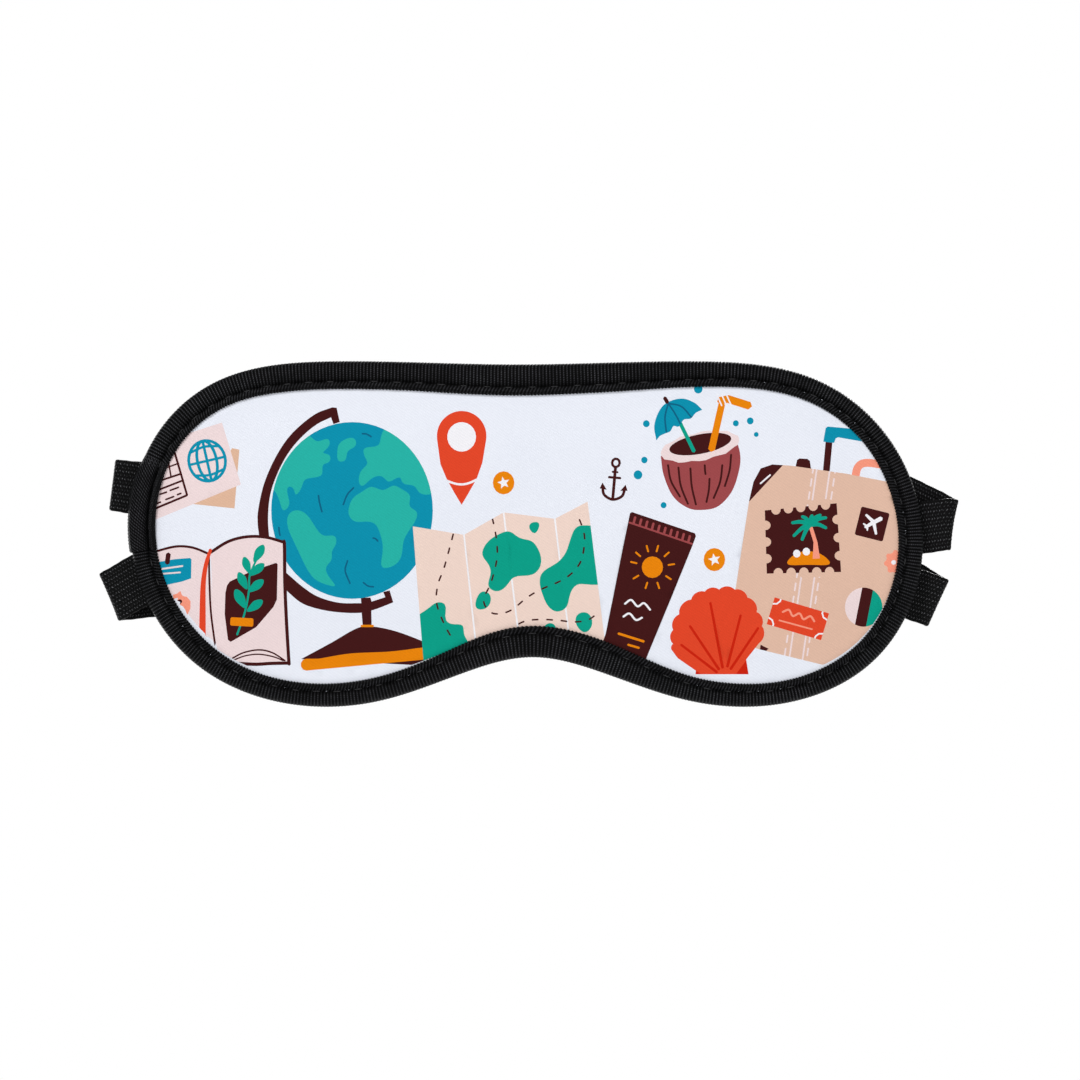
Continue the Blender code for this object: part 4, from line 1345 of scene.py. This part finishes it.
class StrapEnd:
    """One end of a strap: its straight sewn tab, and the loop where it turns back."""

    def __init__(self, strap, end):
        self.side = 1 if end == "right" else -1
        self.overhang, self.tab_heading, self.fold_heading, self.band_heading = STRAP_ENDS[f"{strap}_{end}"]
        middle, parting = STRAP_SPREAD[end]
        z = middle + (STRAP_WIDTH + parting) / 2 * (1 if strap == "upper_strap" else -1)
        place, _ = EDGE.at([EDGE.s_at(self.side, z)])
        tip = np.array([place[0, 0] + self.side * self.overhang, 0.0, z])
        self.loop = self.loop_stations(tip, round(LOOP_RADIUS * math.pi / STRAP_STEP))

    def loop_stations(self, tip, steps):
        """Centre and width direction at places round the loop, whose outermost point is the tip."""
        shares = np.linspace(0, 1, steps + 1)
        bow = self.fold_heading - (self.tab_heading + self.band_heading) / 2
        headings = self.tab_heading + shares * (self.band_heading - self.tab_heading)
        headings += bow * 4 * shares * (1 - shares)
        frames = [heading_vector(self.side, heading) for heading in headings]
        centres = [np.zeros(3)]
        for i in range(steps):
            turn = (shares[i] + shares[i + 1]) / 2 * math.pi
            outward = (frames[i][0] + frames[i + 1][0]) / 2
            step = outward * math.cos(turn) + np.array([0.0, math.sin(turn), 0.0])
            centres.append(centres[-1] + step * LOOP_RADIUS * math.pi / steps)
        shift = tip - centres[steps // 2] * np.array([1, 0, 1])
        shift[1] = TAB_Y
        return [(c + shift, frame[1]) for c, frame in zip(centres, frames)]

    def tab_stations(self):
        """Centre and width direction at places along the straight sewn tab."""
        outward, across = heading_vector(self.side, self.tab_heading)
        length = self.overhang + STRAP_SEWN - LOOP_RADIUS
        steps = round(length / STRAP_STEP)
        start = self.loop[0][0]
        return [(start - outward * length * (1 - k / steps), across) for k in range(steps)]


def run_station(left, right, t):
    """Centre and width direction at a share t of the loose run behind the mask."""
    start, end = left.loop[-1][0], right.loop[-1][0]
    span = end[0] - start[0]
    slopes = [math.tan(math.radians(e.side * e.band_heading)) for e in (left, right)]
    rise = (1 + 2 * t) * (1 - t) ** 2 * start[2] + t**2 * (3 - 2 * t) * end[2]
    rise += span * (t * (1 - t) ** 2 * slopes[0] + t**2 * (t - 1) * slopes[1])
    slope = 6 * t * (1 - t) * (end[2] - start[2]) / span
    slope += (1 - t) * (1 - 3 * t) * slopes[0] + t * (3 * t - 2) * slopes[1]
    across = np.array([-slope, 0.0, 1.0]) / math.hypot(slope, 1.0)
    centre = np.array([start[0] + t * span, BAND_Y + STRAP_SLACK * math.sin(math.pi * t) ** 2, rise])
    return centre, across


def elastic_section():
    """(across, through) points round the elastic, from its rounded edges to its flat sides."""
    flat = STRAP_WIDTH / 2 - SELVEDGE
    top = np.column_stack([np.linspace(flat, -flat, FLAT_POINTS), np.full(FLAT_POINTS, STRAP_THICKNESS / 2)])
    edge = oval((-flat, 0), SELVEDGE, STRAP_THICKNESS / 2 - 0.04, 0, 110, 250, 5)
    return np.vstack([top, edge, -top, -edge])


def strap_mesh(name, stations, material):
    """A woven elastic through these stations: knots in offset rows, and its Weave map in mm."""
    centres = np.array([c for c, _ in stations])
    across = np.array([a for _, a in stations])
    along = np.gradient(centres, axis=0)
    normal = np.cross(along, across)
    normal /= np.linalg.norm(normal, axis=1)[:, None]
    section = elastic_section()
    travel = distances(centres)
    waist = 1 + 0.006 * np.sin(travel * 0.9) + 0.004 * np.sin(travel * 2.3)
    rows = 0.5 * np.cos(2 * math.pi * section[:, 0] / KNOT_ROWS)
    zigzag = KNOT_ROWS - np.abs(section[:, 0] % (2 * KNOT_ROWS) - KNOT_ROWS)
    cells = 0.5 * np.cos(2 * math.pi * (travel[:, None] + KNOT_SLANT * zigzag[None, :]) / KNOT_LENGTH)
    flatness = np.clip(np.abs(section[:, 1]) / (STRAP_THICKNESS / 2), 0, 1) ** 3 * np.sign(section[:, 1])
    knots = KNOT_HEIGHT * (rows[None, :] + cells - 0.6) * flatness[None, :]
    points = (centres[:, None] + across[:, None] * (section[None, :, :1] * waist[:, None, None])
              + normal[:, None] * (section[None, :, 1:] + knots[:, :, None]))
    sides = len(section)
    made = make_mesh(name, points.reshape(-1, 3), tube_faces(len(stations), sides), material)
    face_outwards(made)
    uv = np.zeros((len(stations), sides, 2))
    uv[:, :, 0] = travel[:, None]
    uv[:, :, 1] = section[None, :, 0]
    add_uv(made, "Weave", uv.reshape(-1, 2))
    return made


def build_strap(strap, materials):
    """Both halves of a strap, each from its sewn end on the mask to the middle of the band."""
    left, right = StrapEnd(strap, "left"), StrapEnd(strap, "right")
    span = right.loop[-1][0][0] - left.loop[-1][0][0]
    for end, name in ((left, "left"), (right, "right")):
        shares = np.linspace(0, 0.5, round(span / 2 / STRAP_STEP) + 1)[1:]
        if end is right:
            shares = 1 - shares
        stations = end.tab_stations() + end.loop + [run_station(left, right, t) for t in shares]
        made = strap_mesh(f"{strap}_{name}_half", stations, materials["elastic"])
        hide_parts(f"{strap}_{name}_tab", f"{strap}_band")
        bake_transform(made)
        build_bar_tack(f"{strap}_{name}", end, materials["thread"])


def build_bar_tack(name, end, material):
    """A bar tack: close zigzag threads across the strap's sewn end."""
    outward, across = heading_vector(end.side, end.tab_heading)
    middle = end.tab_stations()[0][0] + outward * STRAP_SEWN / 2
    path = []
    for k in range(2 * TACK_TURNS + 1):
        u = (k / (2 * TACK_TURNS) - 0.5) * TACK_LENGTH
        v = TACK_HALF_WIDTH if k % 2 else -TACK_HALF_WIDTH
        place = middle + across * u + outward * v
        for lift, pull in ((-0.22, 1.0), (0.14, 0.8)) if k % 2 else ((0.14, -0.8), (-0.22, -1.0)):
            path.append(place + outward * 0.12 * pull + np.array([0, STRAP_THICKNESS / 2 + lift, 0]))
    ordered = []
    for a, b in zip(path, path[1:]):
        ordered += [a, (a + b) / 2]
    rings = thread_tube(np.array(ordered + [path[-1]]), TACK_RADIUS, TACK_SIDES)
    faces = tube_faces(len(rings), TACK_SIDES)
    made = make_mesh(f"{name}_zigzag", rings.reshape(-1, 3), faces, material)
    face_outwards(made)
    add_uv(made, "Weave", [(0.4 * i, j) for i in range(len(rings)) for j in range(TACK_SIDES)])
    sew_on(made, "thread", f"{name}_bar_tack")


# ---------------------------------------------------------------- the studio

def add_camera():
    """A camera straight in front of the mask, as in the photograph."""
    data = bpy.data.cameras.new("camera")
    data.sensor_width = SENSOR_WIDTH
    data.lens = SENSOR_WIDTH * CAMERA_DISTANCE / FRAME_WIDTH
    camera = bpy.data.objects.new("camera", data)
    camera.location = (FRAME_CENTRE[0], FACE_Y * MM - CAMERA_DISTANCE, FRAME_CENTRE[1])
    camera.rotation_euler = (math.radians(90), 0, 0)
    bpy.context.scene.collection.objects.link(camera)
    bpy.context.scene.camera = camera


def add_light(name, place, size, watts):
    """A round soft lamp that faces the mask."""
    data = bpy.data.lights.new(name, "AREA")
    data.shape = "DISK"
    data.size = size
    data.energy = watts
    light = bpy.data.objects.new(name, data)
    light.location = place
    light.rotation_euler = (-Vector(place)).to_track_quat("-Z", "Y").to_euler()
    bpy.context.scene.collection.objects.link(light)


def build_studio():
    """A white room light that the camera sees as white paper, soft lamps, and a pale floor."""
    bpy.context.scene.view_settings.view_transform = "Standard"
    world = bpy.data.worlds.new("studio")
    world.use_nodes = True
    tree = world.node_tree
    ambient = tree.nodes["Background"]
    paper = tree.nodes.new("ShaderNodeBackground")
    for node, strength in ((ambient, AMBIENT_STRENGTH), (paper, PAPER_STRENGTH)):
        node.inputs["Color"].default_value = (1, 1, 1, 1)
        node.inputs["Strength"].default_value = strength
    seen = tree.nodes.new("ShaderNodeLightPath")
    mix = tree.nodes.new("ShaderNodeMixShader")
    tree.links.new(seen.outputs["Is Camera Ray"], mix.inputs["Fac"])
    tree.links.new(ambient.outputs[0], mix.inputs[1])
    tree.links.new(paper.outputs[0], mix.inputs[2])
    tree.links.new(mix.outputs[0], tree.nodes["World Output"].inputs["Surface"])
    bpy.context.scene.world = world
    for lamp in LAMPS:
        add_light(*lamp)
    build_floor()


def build_floor():
    mesh = bpy.data.meshes.new("floor")
    work = bmesh.new()
    bmesh.ops.create_circle(work, cap_ends=True, segments=96, radius=FLOOR_RADIUS)
    work.to_mesh(mesh)
    work.free()
    m = Nodes("pale_floor", 0.9, specular=0.1)
    grain = m.noise(m.coordinates(), 12, detail=2)
    mesh.materials.append(m.finish(m.grey(grain, (0.3, 0.9), (0.7, 0.93))))
    floor = bpy.data.objects.new("floor", mesh)
    floor.location = (0, 0, FLOOR_Z)
    bpy.context.scene.collection.objects.link(floor)


def main():
    add_camera()
    build_studio()
    materials = {
        "face": printed_polyester(), "lining": brushed_lining(), "tape": grosgrain(),
        "thread": sewing_thread(), "elastic": woven_elastic(), "foam": open_cell_foam(),
    }
    build_pad(materials)
    build_binding(materials["tape"])
    build_stitches("needle_stitches", -1, "binding_needle_thread", materials["thread"])
    build_stitches("bobbin_stitches", 1, "binding_bobbin_thread", materials["thread"])
    build_strap("upper_strap", materials)
    build_strap("lower_strap", materials)


main()
